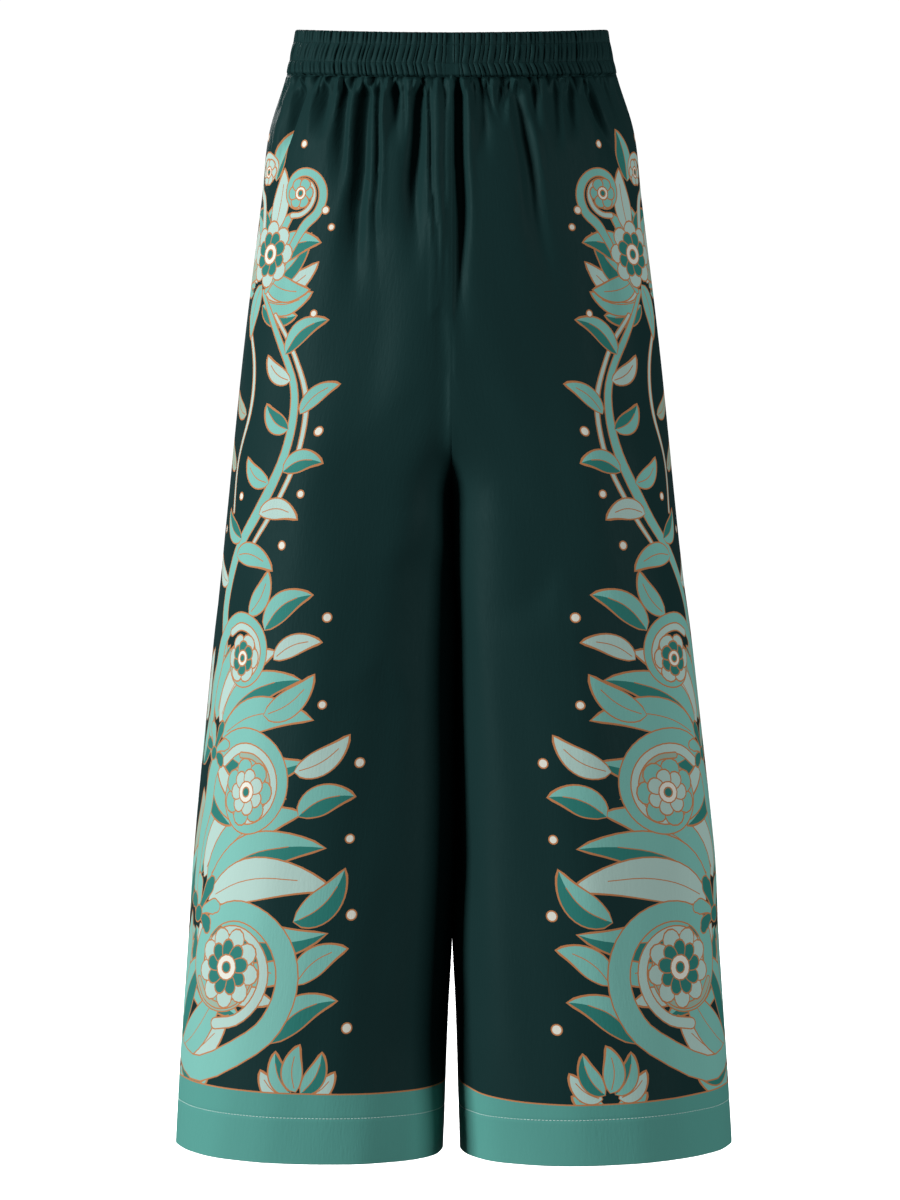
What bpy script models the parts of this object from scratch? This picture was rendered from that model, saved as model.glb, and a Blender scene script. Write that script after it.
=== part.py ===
"""Wide-leg palazzo pants with an elasticated, shirred waistband, hollow and filled out.

Metres, +Z up. The origin is the middle of the waist opening at the side seams. The front
faces -Y, and the wearer's left is +X. Heights are given as a drop below the waist.

The cloth is a thin wall. Each leg is a front and a back panel that meet at the side seam
(y = 0, outside), at the inside leg seam (y = 0, inside) and, above the crotch, at the centre
front or centre back seam (x = 0). The waistband is a gathered casing in four quarters.
"""

from collections import namedtuple

import bmesh
import bpy
import numpy as np

# ---------------------------------------------------------------- driving sizes
SEAM_GAP = 0.0003           # clear space between two sewn pieces
CLOTH = 0.0012              # wall of a leg panel
HEM_EXTRA = 0.0010          # second layer inside the turned-up hem
HEM_DEPTH = 0.041           # height of the turned-up hem
LENGTH = 1.021              # waist edge to hem edge
BAND_DEPTH = 0.0403         # height of the waistband casing
BAND_WALL = 0.0018          # casing: two layers of cloth and the elastic
FRONT_DIP = 0.0131          # how far the waist edge sinks at the centre front
BACK_RISE = 0.004           # how far it rises at the centre back
DIP_POWER = 1.25            # how evenly it does so from the side seams
DIP_FADES = 0.30            # drop at which the dip has died out
SPLIT_STARTS = 0.12         # drop at which the seat starts to part into two legs
CROTCH = 0.365              # drop of the crotch point
SPLIT_POWER = 1.6           # how late the split happens: higher keeps the front flat longer
SWAY = 0.004                # how far the two inner leg walls lean to one side and back
SWAY_SPREADS = 0.06         # drop below the crotch over which the sway grows
SWAY_FADES = 0.74           # drop at which the sway starts to die out
SWAY_ENDS = 0.86            # drop at which the legs hang clear of each other
LEAN = 0.0020               # the hems hang this far towards the wearer's left
LEAN_STARTS = 0.45          # drop at which the lean starts
HEM_SLOPE = 0.0045          # how much lower the hems hang at the inside of the legs
HEM_SLOPE_STARTS = 0.75     # drop at which they start to

# One row for each level: drop, half the width of both legs, half depth to the front and to
# the back, half of the gap between the legs, and how round the inside of the leg is
# (1 is an ellipse, less is squarer).
Level = namedtuple("Level", "drop half_width front back gap round")
LEVELS = (
    Level(0.000, 0.1411, 0.095, 0.095, 0.00015, 0.50),
    Level(0.040, 0.1515, 0.100, 0.103, 0.00015, 0.50),
    Level(0.090, 0.1666, 0.108, 0.117, 0.00015, 0.50),
    Level(0.154, 0.1742, 0.112, 0.127, 0.00015, 0.50),
    Level(0.282, 0.1900, 0.113, 0.130, 0.00015, 0.50),
    Level(0.430, 0.2052, 0.111, 0.122, 0.00020, 0.53),
    Level(0.614, 0.2242, 0.109, 0.115, 0.00020, 0.60),
    Level(0.798, 0.2424, 0.111, 0.111, 0.00020, 0.66),
    Level(0.842, 0.2452, 0.112, 0.111, 0.0008, 0.67),
    Level(0.890, 0.2484, 0.113, 0.111, 0.0034, 0.68),
    Level(0.982, 0.2539, 0.116, 0.111, 0.0066, 0.68),
    Level(1.021, 0.2560, 0.117, 0.111, 0.0082, 0.68),
)

# One row for each fold of a panel: where it lies across the garment at its top and at its
# bottom, its half width along the cloth, how far it stands out (+) or sinks in (-), and the
# drops at which it starts and ends.
Fold = namedtuple("Fold", "top_x low_x width height starts ends")
FRONT_FOLDS = (
    Fold(-0.133, -0.166, 0.0056, -0.0115, 0.040, 0.150),
    Fold(-0.116, -0.118, 0.0050, -0.0090, 0.040, 0.105),
    Fold(-0.097, -0.102, 0.0054, -0.0095, 0.040, 0.165),
    Fold(-0.077, -0.091, 0.0066, -0.0125, 0.040, 0.270),
    Fold(-0.070, -0.075, 0.0040, 0.0028, 0.040, 0.240),
    Fold(-0.0505, -0.0515, 0.0045, -0.0085, 0.040, 0.115),
    Fold(-0.029, -0.035, 0.0056, -0.0115, 0.040, 0.240),
    Fold(-0.013, -0.009, 0.0040, 0.0024, 0.040, 0.300),
    Fold(0.0068, 0.0085, 0.0058, -0.0125, 0.040, 0.310),
    Fold(0.027, 0.031, 0.0046, -0.0050, 0.040, 0.130),
    Fold(0.0420, 0.0425, 0.0040, -0.0055, 0.040, 0.092),
    Fold(0.056, 0.090, 0.0062, -0.0080, 0.040, 0.250),
    Fold(0.074, 0.075, 0.0042, -0.0050, 0.040, 0.100),
    Fold(0.093, 0.095, 0.0046, -0.0045, 0.040, 0.120),
    Fold(0.107, 0.1085, 0.0044, -0.0060, 0.040, 0.105),
    Fold(0.116, 0.158, 0.0054, -0.0080, 0.040, 0.135),
    Fold(-0.070, -0.074, 0.0220, -0.0040, 0.150, 0.500),
    Fold(0.140, 0.160, 0.0160, -0.0040, 0.200, 0.520),
    Fold(-0.150, -0.168, 0.0180, -0.0030, 0.220, 0.560),
    Fold(0.098, 0.130, 0.0380, 0.0090, 0.480, 1.500),
    Fold(-0.060, -0.078, 0.0300, -0.0030, 0.560, 1.300),
    Fold(0.040, 0.044, 0.0260, 0.0014, 0.400, 1.300),
)
BACK_FOLDS = (
    Fold(-0.141, -0.158, 0.0058, -0.0065, 0.040, 0.120),
    Fold(-0.108, -0.120, 0.0060, -0.0090, 0.040, 0.180),
    Fold(-0.084, -0.088, 0.0046, 0.0030, 0.040, 0.200),
    Fold(-0.067, -0.080, 0.0066, -0.0120, 0.040, 0.260),
    Fold(-0.044, -0.047, 0.0048, -0.0065, 0.040, 0.120),
    Fold(-0.025, -0.031, 0.0058, -0.0110, 0.040, 0.230),
    Fold(-0.011, -0.010, 0.0042, 0.0024, 0.040, 0.250),
    Fold(0.010, 0.014, 0.0058, -0.0120, 0.040, 0.290),
    Fold(0.034, 0.038, 0.0048, -0.0060, 0.040, 0.130),
    Fold(0.054, 0.070, 0.0064, -0.0105, 0.040, 0.240),
    Fold(0.078, 0.083, 0.0046, 0.0030, 0.040, 0.190),
    Fold(0.100, 0.116, 0.0060, -0.0090, 0.040, 0.190),
    Fold(0.132, 0.150, 0.0056, -0.0070, 0.040, 0.130),
    Fold(-0.120, -0.140, 0.0200, -0.0035, 0.200, 0.560),
    Fold(0.090, 0.112, 0.0220, -0.0040, 0.190, 0.540),
    Fold(-0.100, -0.130, 0.0280, -0.0035, 0.500, 1.300),
    Fold(0.085, 0.115, 0.0280, -0.0035, 0.520, 1.300),
)
FOLD_RISE = 0.010           # length over which a fold of no width opens below its start
FOLD_RISE_WIDER = 1.7       # and how much longer for each half width
FOLD_FADE = 0.62            # share of a fold's length over which it dies out
FOLD_NARROW = 0.22          # its width where it starts, as a share
FOLD_SPREAD = 0.6           # how much wider it is where it ends, as a share
FOLD_LEAN = 1.22            # a trough is this much wider on its right than a plain one
FOLD_WANDER = 0.0016        # how far a fold wanders sideways
FOLD_WANDERS = 0.14         # drop over which it does so once
FOLD_WANDER_STEP = 8.0      # turns by which that differs for folds a metre apart
SIDE_CALM = 0.012           # folds die out this close to a side or inside leg seam
CENTRE_CALM = 0.0035        # and this close to the centre front or back seam

# Rows of a leg panel, as drops, and the number of columns in each zone. The upper zone
# holds the folds under the waistband, and the lower zone hangs nearly smooth.
UPPER_ROWS = (0.050, 0.064, 0.084, 0.110, 0.145, 0.190, 0.240, 0.285)
SEAT_ROWS = (0.318, 0.340, 0.353, 0.361, CROTCH)
LEG_ROWS = (0.390, 0.440, 0.510, 0.600, 0.700, 0.800, 0.870, 0.930)
UPPER_COLUMNS = 34
LOWER_COLUMNS = 20
CENTRE_CROWDING = 0.85      # columns of the upper zone crowd towards the centre below 1

# The waistband: rows from the edge down, with the part of its height, how full the casing
# is there, how high a gather stands, and how far the gathers have slanted (in gathers).
BandRow = namedtuple("BandRow", "share crown gather slant")
BAND_ROWS = (
    BandRow(0.000, 0.0002, 0.0006, 0.0),
    BandRow(0.130, 0.0006, 0.0013, 0.05),
    BandRow(0.265, 0.0000, 0.0004, 0.10),
    BandRow(0.470, 0.0007, 0.0015, 0.45),
    BandRow(0.680, 0.0000, 0.0004, 0.80),
    BandRow(0.840, 0.0006, 0.0014, 0.45),
    BandRow(1.000, 0.0002, 0.0005, 0.10),
)
GATHERS = 30                # in each quarter of the waistband
GATHER_CALM = 4             # gathers next to a seam over which they settle down
CENTRE_PLAIN = 4.5          # gathers next to the centre seams over which the foot lies plain
PLAIN_FOOT_STARTS = 0.75    # share of the height from which it does

# How uneven the gathers are: the size of each swing as a share, its pace from one crest or
# dip to the next, and how it differs from side to side and from front to back.
Swing = namedtuple("Swing", "size pace side face")
SPACING_SWINGS = (Swing(0.42, 1.70, 2.1, 0.9), Swing(0.25, 0.61, 0.0, 1.3))
HEIGHT_SWINGS = (Swing(0.35, 1.13, 0.7, 1.9),)
HEIGHT_MEAN = 0.8           # mean height of a gather, as a share of the row's
DIP_DEPTH = 0.35            # depth of the dips between the gathers, as a share of the crests
BAND_INNER_COLUMNS = 16

SAMPLES = 361               # points along one cross-section before columns are picked
NORMAL_REACH = 0.002        # share of a row over which its direction is taken
NORMAL_STEP = 0.0015        # drop over which the slope of the cloth is taken
SHARP_DEGREES = 28          # edges that turn more than this are drawn as creases

# ---------------------------------------------------------------- finishes
Cloth = namedtuple("Cloth", "colour roughness metallic sheen")
SILK = Cloth((0.0110, 0.0319, 0.0319, 1.0), 0.42, 0.0, 0.25)
CASING = Cloth((0.0095, 0.0270, 0.0270, 1.0), 0.48, 0.0, 0.25)


def clear_scene():
    """Remove whatever the scene holds."""
    for thing in list(bpy.data.objects):
        bpy.data.objects.remove(thing, do_unlink=True)


def ease(value):
    """Smooth step from 0 to 1."""
    value = np.clip(value, 0.0, 1.0)
    return value * value * (3.0 - 2.0 * value)


def level(drop, column):
    """One column of the level table at any drop, as a smooth curve through its rows."""
    at = np.array([row.drop for row in LEVELS])
    values = np.array([getattr(row, column) for row in LEVELS])
    slopes = np.gradient(values, at)
    drop = float(np.clip(drop, at[0], at[-1]))
    k = int(np.clip(np.searchsorted(at, drop) - 1, 0, len(at) - 2))
    span = at[k + 1] - at[k]
    t = (drop - at[k]) / span
    rise = (values[k + 1] - values[k]) / span
    flattest = 3.0 * abs(rise)
    start = np.clip(slopes[k], -flattest, flattest)
    stop = np.clip(slopes[k + 1], -flattest, flattest)
    return float(
        values[k] * (1 + 2 * t) * (1 - t) ** 2
        + start * span * t * (1 - t) ** 2
        + values[k + 1] * t * t * (3 - 2 * t)
        + stop * span * t * t * (t - 1)
    )


def split(drop):
    """How far the two legs have parted: 0 in the waist, 1 at the crotch and below."""
    t = float(np.clip((drop - SPLIT_STARTS) / (CROTCH - SPLIT_STARTS), 0.0, 1.0))
    return (t**3 * (10.0 - 15.0 * t + 6.0 * t * t)) ** SPLIT_POWER


def cross_section(side, face, drop):
    """Outline of one panel at a drop, from the side seam to the centre or inside leg seam.

    Returns x, y, the length along the cloth and the outward direction at each sample.
    """
    half, gap = level(drop, "half_width"), level(drop, "gap")
    depth = level(drop, "front" if face < 0 else "back")
    inner = level(drop, "round")
    parted = split(drop)
    radius = (half - gap) / (1 + parted)
    last = np.arccos(-(parted ** (1 / inner)))
    spread = 0.5 - 0.5 * np.cos(np.linspace(0.0, np.pi, SAMPLES))
    angle = last * spread
    power = np.where(angle > np.pi / 2, inner, 1.0)
    across = np.sign(np.cos(angle)) * np.abs(np.cos(angle)) ** power
    forward = np.clip(np.sin(angle), 0.0, 1.0) ** power
    x = side * (half - radius + radius * across)
    y = face * (SEAM_GAP / 2 + (depth - SEAM_GAP / 2) * forward)
    steps = np.hypot(np.diff(x), np.diff(y))
    along = np.concatenate([[0.0], np.cumsum(steps)])
    slope_x, slope_y = np.gradient(x, along), np.gradient(y, along)
    size = np.maximum(np.hypot(slope_x, slope_y), 1e-9)
    out_x, out_y = slope_y / size, -slope_x / size
    turn = side * face
    return x, y, along, out_x * turn, out_y * turn


def fold_height(side, face, drop, x, along):
    """How far the folds lift the cloth off its plain cross-section at one drop."""
    height = np.zeros_like(along)
    rising = x[-1] < x[0]
    order_x = x[::-1] if rising else x
    order_s = along[::-1] if rising else along
    for fold in FRONT_FOLDS if face < 0 else BACK_FOLDS:
        if not fold.starts < drop < fold.ends:
            continue
        share = (drop - fold.starts) / (fold.ends - fold.starts)
        at_x = fold.top_x + (fold.low_x - fold.top_x) * share
        turn = 2 * np.pi * (drop / FOLD_WANDERS + FOLD_WANDER_STEP * fold.top_x)
        at_x += FOLD_WANDER * np.sin(turn) * ease((drop - BAND_DEPTH) / FOLD_WANDERS)
        if not order_x[0] < at_x < order_x[-1]:
            continue
        at = np.interp(at_x, order_x, order_s)
        opens = ease((drop - fold.starts) / (FOLD_RISE + FOLD_RISE_WIDER * fold.width))
        closes = ease((1.0 - share) / FOLD_FADE)
        widening = fold.width * (FOLD_NARROW + (1 - FOLD_NARROW) * opens + FOLD_SPREAD * share)
        away = (at - along) * side
        if fold.height < 0:
            widening = widening * np.where(away < 0, FOLD_LEAN, 1 / FOLD_LEAN)
        height += fold.height * opens * closes * np.exp(-((away / widening) ** 2))
    calm_end = CENTRE_CALM if drop < CROTCH else SIDE_CALM
    height *= ease(along / SIDE_CALM) * ease((along[-1] - along) / calm_end)
    return height


def placed(face, drop, x, y):
    """Hang a cross-section: the dip of the waist, the slope and lean of the hems, the sway."""
    depth = level(drop, "front" if face < 0 else "back")
    half = level(drop, "half_width")
    reach = np.abs(y / depth) ** DIP_POWER
    fade = 1.0 - ease(drop / DIP_FADES)
    lift = (-FRONT_DIP if face < 0 else BACK_RISE) * reach * fade
    slope = HEM_SLOPE * ease((drop - HEM_SLOPE_STARTS) / (LENGTH - HEM_SLOPE_STARTS))
    lift = lift - slope * (1.0 - np.abs(x) / half)
    sway = SWAY * ease((drop - CROTCH) / SWAY_SPREADS)
    sway *= 1.0 - ease((drop - SWAY_FADES) / (SWAY_ENDS - SWAY_FADES))
    lean = LEAN * ease((drop - LEAN_STARTS) / LEAN_STARTS)
    moved = x + sway * np.sin(np.pi * y / depth) + lean * (x / half) ** 2
    return moved, y, -drop + lift


def cloth_row(side, face, drop, shares):
    """Points of the cloth at one drop, at these shares of the panel's width."""
    x, y, along, out_x, out_y = cross_section(side, face, drop)
    height = fold_height(side, face, drop, x, along)
    x, y, z = placed(face, drop, x + height * out_x, y + height * out_y)
    at = np.asarray(shares) * along[-1]
    return np.stack([np.interp(at, along, v) for v in (x, y, z)], axis=1)


def cloth_normals(side, face, drop, shares):
    """Outward directions of the cloth, kept within the seam planes at its edges."""
    shares = np.asarray(shares)
    left = cloth_row(side, face, drop, np.clip(shares - NORMAL_REACH, 0, 1))
    right = cloth_row(side, face, drop, np.clip(shares + NORMAL_REACH, 0, 1))
    above = cloth_row(side, face, max(drop - NORMAL_STEP, 0.0), shares)
    below = cloth_row(side, face, min(drop + NORMAL_STEP, LENGTH), shares)
    normal = np.cross(below - above, right - left) * (side * face)
    normal[0, 1] = 0.0
    if drop >= CROTCH:
        normal[-1, 1] = 0.0
    else:
        normal[-1, 0] = side * min(side * normal[-1, 0], 0.0)
    return normal / np.linalg.norm(normal, axis=1)[:, None]


def bridge(mesh, upper, lower):
    """Fill the band between two rows of (key, vertex), whatever their counts."""
    i = j = 0
    while i < len(upper) - 1 or j < len(lower) - 1:
        ahead_upper = upper[i + 1][0] if i < len(upper) - 1 else np.inf
        ahead_lower = lower[j + 1][0] if j < len(lower) - 1 else np.inf
        if ahead_upper <= ahead_lower:
            mesh.faces.new((upper[i][1], lower[j][1], upper[i + 1][1]))
            i += 1
        else:
            mesh.faces.new((upper[i][1], lower[j][1], lower[j + 1][1]))
            j += 1


def wall(name, outer, inner, cloth):
    """One closed piece of cloth from its outer and inner rows.

    A row is (drop, keys, points), and the keys, from 0 to 1, say which of its points lie
    opposite which of the next row's. The rows run from the top edge down.
    """
    mesh = bmesh.new()

    def vertices(rows):
        return [
            [(key, mesh.verts.new(point)) for key, point in zip(keys, points)]
            for _, keys, points in rows
        ]

    outside, inside = vertices(outer), vertices(inner)
    ring = outside + inside[::-1]
    for upper, lower in zip(ring, ring[1:] + ring[:1]):
        bridge(mesh, upper, lower)
    for end in (0, -1):
        rim = [(row[0], line[end][1]) for row, line in zip(outer, outside)]
        back = [(row[0], line[end][1]) for row, line in zip(inner, inside)]
        bridge(mesh, rim, back)
    bmesh.ops.recalc_face_normals(mesh, faces=mesh.faces)
    if mesh.calc_volume(signed=True) < 0:
        bmesh.ops.reverse_faces(mesh, faces=mesh.faces)
    data = bpy.data.meshes.new(name)
    mesh.to_mesh(data)
    mesh.free()
    data.shade_smooth()
    data.set_sharp_from_angle(angle=np.radians(SHARP_DEGREES))
    piece = bpy.data.objects.new(name, data)
    bpy.context.scene.collection.objects.link(piece)
    data.materials.append(finish(name, cloth))
    return piece


def finish(name, cloth):
    """The cloth's own material for one piece."""
    material = bpy.data.materials.new(name + " silk")
    material.use_nodes = True
    shader = material.node_tree.nodes["Principled BSDF"]
    shader.inputs["Base Color"].default_value = cloth.colour
    shader.inputs["Roughness"].default_value = cloth.roughness
    shader.inputs["Metallic"].default_value = cloth.metallic
    shader.inputs["Sheen Weight"].default_value = cloth.sheen
    material.diffuse_color = cloth.colour
    return material


def seat_shares(side, face, drop, keys):
    """Shares of the width at which the lower zone's columns run straight up into the seat,
    where the inner part of the leg narrows away and its columns close up."""
    full = cross_section(side, face, CROTCH)[2][-1]
    here = cross_section(side, face, drop)[2][-1]
    return 1.0 - (1.0 - keys) ** max(full / here, 1.0)


def leg_panel(name, side, face):
    """A front or back leg panel, with the doubled hem at its foot."""
    top = BAND_DEPTH + SEAM_GAP / 2
    stitch = LENGTH - HEM_DEPTH
    many = np.linspace(0.0, 1.0, UPPER_COLUMNS + 1)
    few = np.linspace(0.0, 1.0, LOWER_COLUMNS + 1)
    rows = [(drop, many, many**CENTRE_CROWDING) for drop in (top,) + UPPER_ROWS]
    for drop in SEAT_ROWS + LEG_ROWS + (stitch, LENGTH):
        rows.append((drop, few, seat_shares(side, face, drop, few)))
    outer, inner = [], []
    for drop, keys, shares in rows:
        points = cloth_row(side, face, drop, shares)
        normals = cloth_normals(side, face, drop, shares)
        outer.append((drop, keys, points))
        if drop < LENGTH:
            inner.append((drop, keys, points - CLOTH * normals))
        if drop >= stitch:
            inner.append((drop, keys, points - (CLOTH + HEM_EXTRA) * normals))
    return wall(name, outer, inner, SILK)


def swings(rows, index, side, face):
    """Sum of the swings at each crest and dip."""
    return sum(row.size * np.sin(row.pace * index + row.side * side + row.face * face) for row in rows)


def gather_spacing(side, face, slant):
    """Shares of a quarter's width at which its gathers rise and sink, one crest and one dip
    for each, unevenly spaced and slanted by this many gathers away from the seams."""
    count = 2 * GATHERS
    index = np.arange(count + 1)
    widths = 1.0 + swings(SPACING_SWINGS, index[1:], side, face)
    evenly = np.concatenate([[0.0], np.cumsum(widths)]) / widths.sum()
    calm = ease(index / (2 * GATHER_CALM)) * ease((count - index) / (2 * GATHER_CALM))
    return evenly + 2.0 * slant * side * -face * calm / count


def gather_heights(side, face, row):
    """Height of each crest and dip of one row of a quarter of the waistband."""
    count = 2 * GATHERS
    index = np.arange(count + 1)
    uneven = HEIGHT_MEAN + swings(HEIGHT_SWINGS, index, side, face)
    calm = ease(index / GATHER_CALM) * ease((count - index) / GATHER_CALM)
    if row.share > PLAIN_FOOT_STARTS:
        calm = calm * ease((count - index) / (2 * CENTRE_PLAIN))
    crest = np.where(index % 2 == 1, 1.0, -DIP_DEPTH)
    return row.crown + row.gather * uneven * calm * crest


def waistband_quarter(name, side, face):
    """A quarter of the gathered casing, plain inside and gathered outside."""
    depth = BAND_DEPTH - SEAM_GAP / 2
    plain = np.linspace(0.0, 1.0, BAND_INNER_COLUMNS + 1)
    keys = np.linspace(0.0, 1.0, 2 * GATHERS + 1)
    outer, inner = [], []
    for row in BAND_ROWS:
        drop = row.share * depth
        shares = gather_spacing(side, face, row.slant)
        points = cloth_row(side, face, drop, shares)
        normals = cloth_normals(side, face, drop, shares)
        heights = gather_heights(side, face, row)
        outer.append((drop, keys, points + heights[:, None] * normals))
    for drop in (0.0, depth / 2, depth):
        points = cloth_row(side, face, drop, plain)
        normals = cloth_normals(side, face, drop, plain)
        inner.append((drop, plain, points - BAND_WALL * normals))
    return wall(name, outer, inner, CASING)


def build():
    """The whole garment."""
    clear_scene()
    for side, hand in ((-1, "right"), (1, "left")):
        for face, where in ((-1, "front"), (1, "back")):
            leg_panel(f"{where}_leg_{hand}", side, face)
            waistband_quarter(f"waistband_{where}_{hand}", side, face)


build()
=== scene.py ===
"""Looks of a pair of wide-leg palazzo pants in printed silk twill, with a shirred waistband.

Metres, +Z up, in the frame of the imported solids: the origin is the middle of the waist
opening, the front faces -Y, and the wearer's left is +X. Heights are given as a drop below
the waist. The print is laid out flat in millimetres: s is the distance from the side seam
along the cloth, and v is the drop.
"""

from collections import namedtuple

import bpy
import numpy as np
from bpy.props import FloatProperty, FloatVectorProperty, PointerProperty
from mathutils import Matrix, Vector
from mathutils.geometry import delaunay_2d_cdt


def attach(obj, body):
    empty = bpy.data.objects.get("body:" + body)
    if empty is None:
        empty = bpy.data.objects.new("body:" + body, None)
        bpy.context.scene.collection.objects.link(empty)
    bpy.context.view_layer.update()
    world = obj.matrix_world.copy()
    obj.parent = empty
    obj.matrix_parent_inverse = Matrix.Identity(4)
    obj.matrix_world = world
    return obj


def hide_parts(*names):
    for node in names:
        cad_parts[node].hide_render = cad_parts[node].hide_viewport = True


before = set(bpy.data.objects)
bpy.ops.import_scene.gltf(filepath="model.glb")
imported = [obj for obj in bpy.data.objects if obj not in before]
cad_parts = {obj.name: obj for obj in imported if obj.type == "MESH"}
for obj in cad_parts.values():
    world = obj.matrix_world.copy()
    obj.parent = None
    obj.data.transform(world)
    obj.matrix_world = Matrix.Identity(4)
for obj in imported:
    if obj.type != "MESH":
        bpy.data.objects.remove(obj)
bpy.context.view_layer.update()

bl_info = {
    "name": "Palazzo pants",
    "version": (1, 0, 0),
    "blender": (4, 5, 0),
    "location": "3D View > Sidebar > Pants",
    "description": "Builds printed silk palazzo pants with a shirred waistband",
    "category": "Object",
}


def table(columns, *rows):
    """Rows of bare values, with a name for each column."""
    kind = namedtuple("Row", columns)
    return tuple(kind(*row) for row in rows)


def table_mm(columns, *rows):
    """The same from millimetres to metres, exact to a micrometre."""
    return table(columns, *([round(value / 1000, 6) for value in row] for row in rows))


# ---- form of the garment
LENGTH = 1.021  # waist edge to hem edge
BAND_DEPTH = 0.0403  # height of the waistband casing
HEM_DEPTH = 0.041  # height of the turned-up hem
FRONT_DIP = 0.0131  # how far the waist edge sinks at the centre front
BACK_RISE = 0.004  # how far it rises at the centre back
DIP_POWER = 1.25  # above 1 it does so more towards the middle
DIP_FADES = 0.30  # drop at which the dip has died out
# How much rounder than the table says the front of each leg's inside is, from right to left.
FRONT_INNER = {-1: 1.20, 1: 0.80}
FRONT_INNER_EASES = 0.12  # length over which that comes on below the crotch, and goes off
SPLIT_STARTS = 0.21  # drop at which the seat starts to part into two legs
CROTCH = 0.438  # drop below which the two legs hang side by side
SPLIT_POWER = 3.0  # how late the split happens
SWAY = -0.006  # how far the two inner leg walls lean to one side and back
SWAY_SPREADS = 0.12  # drop below the crotch over which the sway grows
SWAY_FADES = 0.74  # drop at which the sway starts to die out
SWAY_ENDS = 0.86  # drop at which the legs hang clear of each other
LEAN = 0.0020  # the hems hang this far towards the wearer's left
LEAN_STARTS = 0.45  # drop at which the lean starts
HEM_SLOPE = 0.0045  # how much lower the hems hang at the inside of the legs
HEM_SLOPE_STARTS = 0.75  # drop at which they start to

# One row for each level: drop, half the width of both legs, half depth to the front and to
# the back, half of the gap between the legs, how round the inside of the leg is, and how far
# the front of the wearer's left leg draws back from the middle, as a share of the leg.
LEVELS = table(
    "drop half_width front back gap round draw",
    (0, 0.143, 0.095, 0.095, 0, 0.5, 0),
    (0.04, 0.1513, 0.1, 0.103, 0, 0.5, 0),
    (0.09, 0.1666, 0.108, 0.117, 0, 0.5, 0),
    (0.154, 0.1742, 0.112, 0.127, 0, 0.5, 0),
    (0.282, 0.19, 0.113, 0.13, 0, 0.5, 0),
    (0.43, 0.2052, 0.111, 0.122, 0.00005, 0.5, 0),
    (0.614, 0.2242, 0.109, 0.115, 0.0002, 0.58, 0.05),
    (0.798, 0.2424, 0.111, 0.111, 0.0002, 0.66, 0.11),
    (0.842, 0.2452, 0.112, 0.111, 0.0008, 0.68, 0.12),
    (0.89, 0.2484, 0.113, 0.111, 0.0034, 0.7, 0.1),
    (0.982, 0.2539, 0.116, 0.111, 0.0066, 0.76, 0.03),
    (1.021, 0.256, 0.117, 0.111, 0.0082, 0.78, 0),
)

# One row for each fold of a panel: where it lies across the garment at its top and at its
# bottom, its half width along the cloth, how far it stands out (+) or sinks in (-), and the
# drops at which it starts and ends, all in millimetres.
FOLD = "top_x low_x width height starts ends"
FRONT_FOLDS = table_mm(
    FOLD,
    (-133, -166, 5.6, -11.5, 40, 150), (-116, -118, 5, -9, 40, 105),
    (-97, -102, 5.4, -9.5, 40, 165), (-77, -91, 6.6, -12.5, 40, 270), (-70, -75, 4, 2.8, 40, 240),
    (-50.5, -51.5, 4.5, -8.5, 40, 115), (-29, -35, 5.6, -11.5, 40, 240), (-13, -9, 4, 2.4, 40, 300),
    (6.8, 8.5, 5.8, -12.5, 40, 310), (27, 31, 4.6, -5, 40, 130), (42, 42.5, 4, -5.5, 40, 92),
    (56, 90, 6.2, -8, 40, 250), (74, 75, 4.2, -5, 40, 100), (93, 95, 4.6, -4.5, 40, 120),
    (107, 108.5, 4.4, -6, 40, 105), (116, 158, 5.4, -8, 40, 135), (-70, -74, 22, -4, 150, 500),
    (140, 160, 16, -4, 200, 520), (-150, -168, 18, -3, 220, 560), (98, 130, 38, 9, 480, 1500),
    (-60, -78, 30, -3, 560, 1300), (40, 44, 26, 1.4, 400, 1300), (-20, -50, 30, -4.5, 440, 1300),
    (-8.5, -8.5, 7, -2, 250, 500),
    # fine creases between them
    (-152, -158, 3.4, -3, 40, 85), (-143, -160, 3, 1.4, 44, 130), (-125, -131, 2.6, 1.4, 40, 120),
    (-106, -110, 2.2, -1.8, 40, 100), (-88, -105, 3.4, 1.8, 44, 220),
    (-64.8, -68, 2.8, -4.2, 40, 250), (-60.5, -64, 2.6, 2.2, 44, 220),
    (-42.5, -43, 2.4, -3.4, 42, 106), (-37.5, -40, 2.4, 1.6, 42, 150),
    (-24.5, -13, 1.8, 1.7, 44, 330), (-20, -11, 2, -2.2, 46, 270), (-6, -6, 1.8, -1.2, 44, 330),
    (15, 16.5, 3, 1.6, 44, 260), (19.5, 19.5, 2.6, -3.4, 40, 84), (30, 43, 2.2, -3.4, 40, 92),
    (35, 42, 2, 1.6, 42, 90), (54, 44, 2.2, -3.4, 40, 92), (50, 69, 3, 1.4, 46, 200),
    (66, 90, 3.4, 1.8, 44, 200), (85, 87, 2.4, -2.2, 40, 90), (100, 103, 2.6, 1.6, 42, 120),
    (126, 156, 3, 1.8, 42, 140), (138, 152, 3, -3, 40, 90),
)
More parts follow.
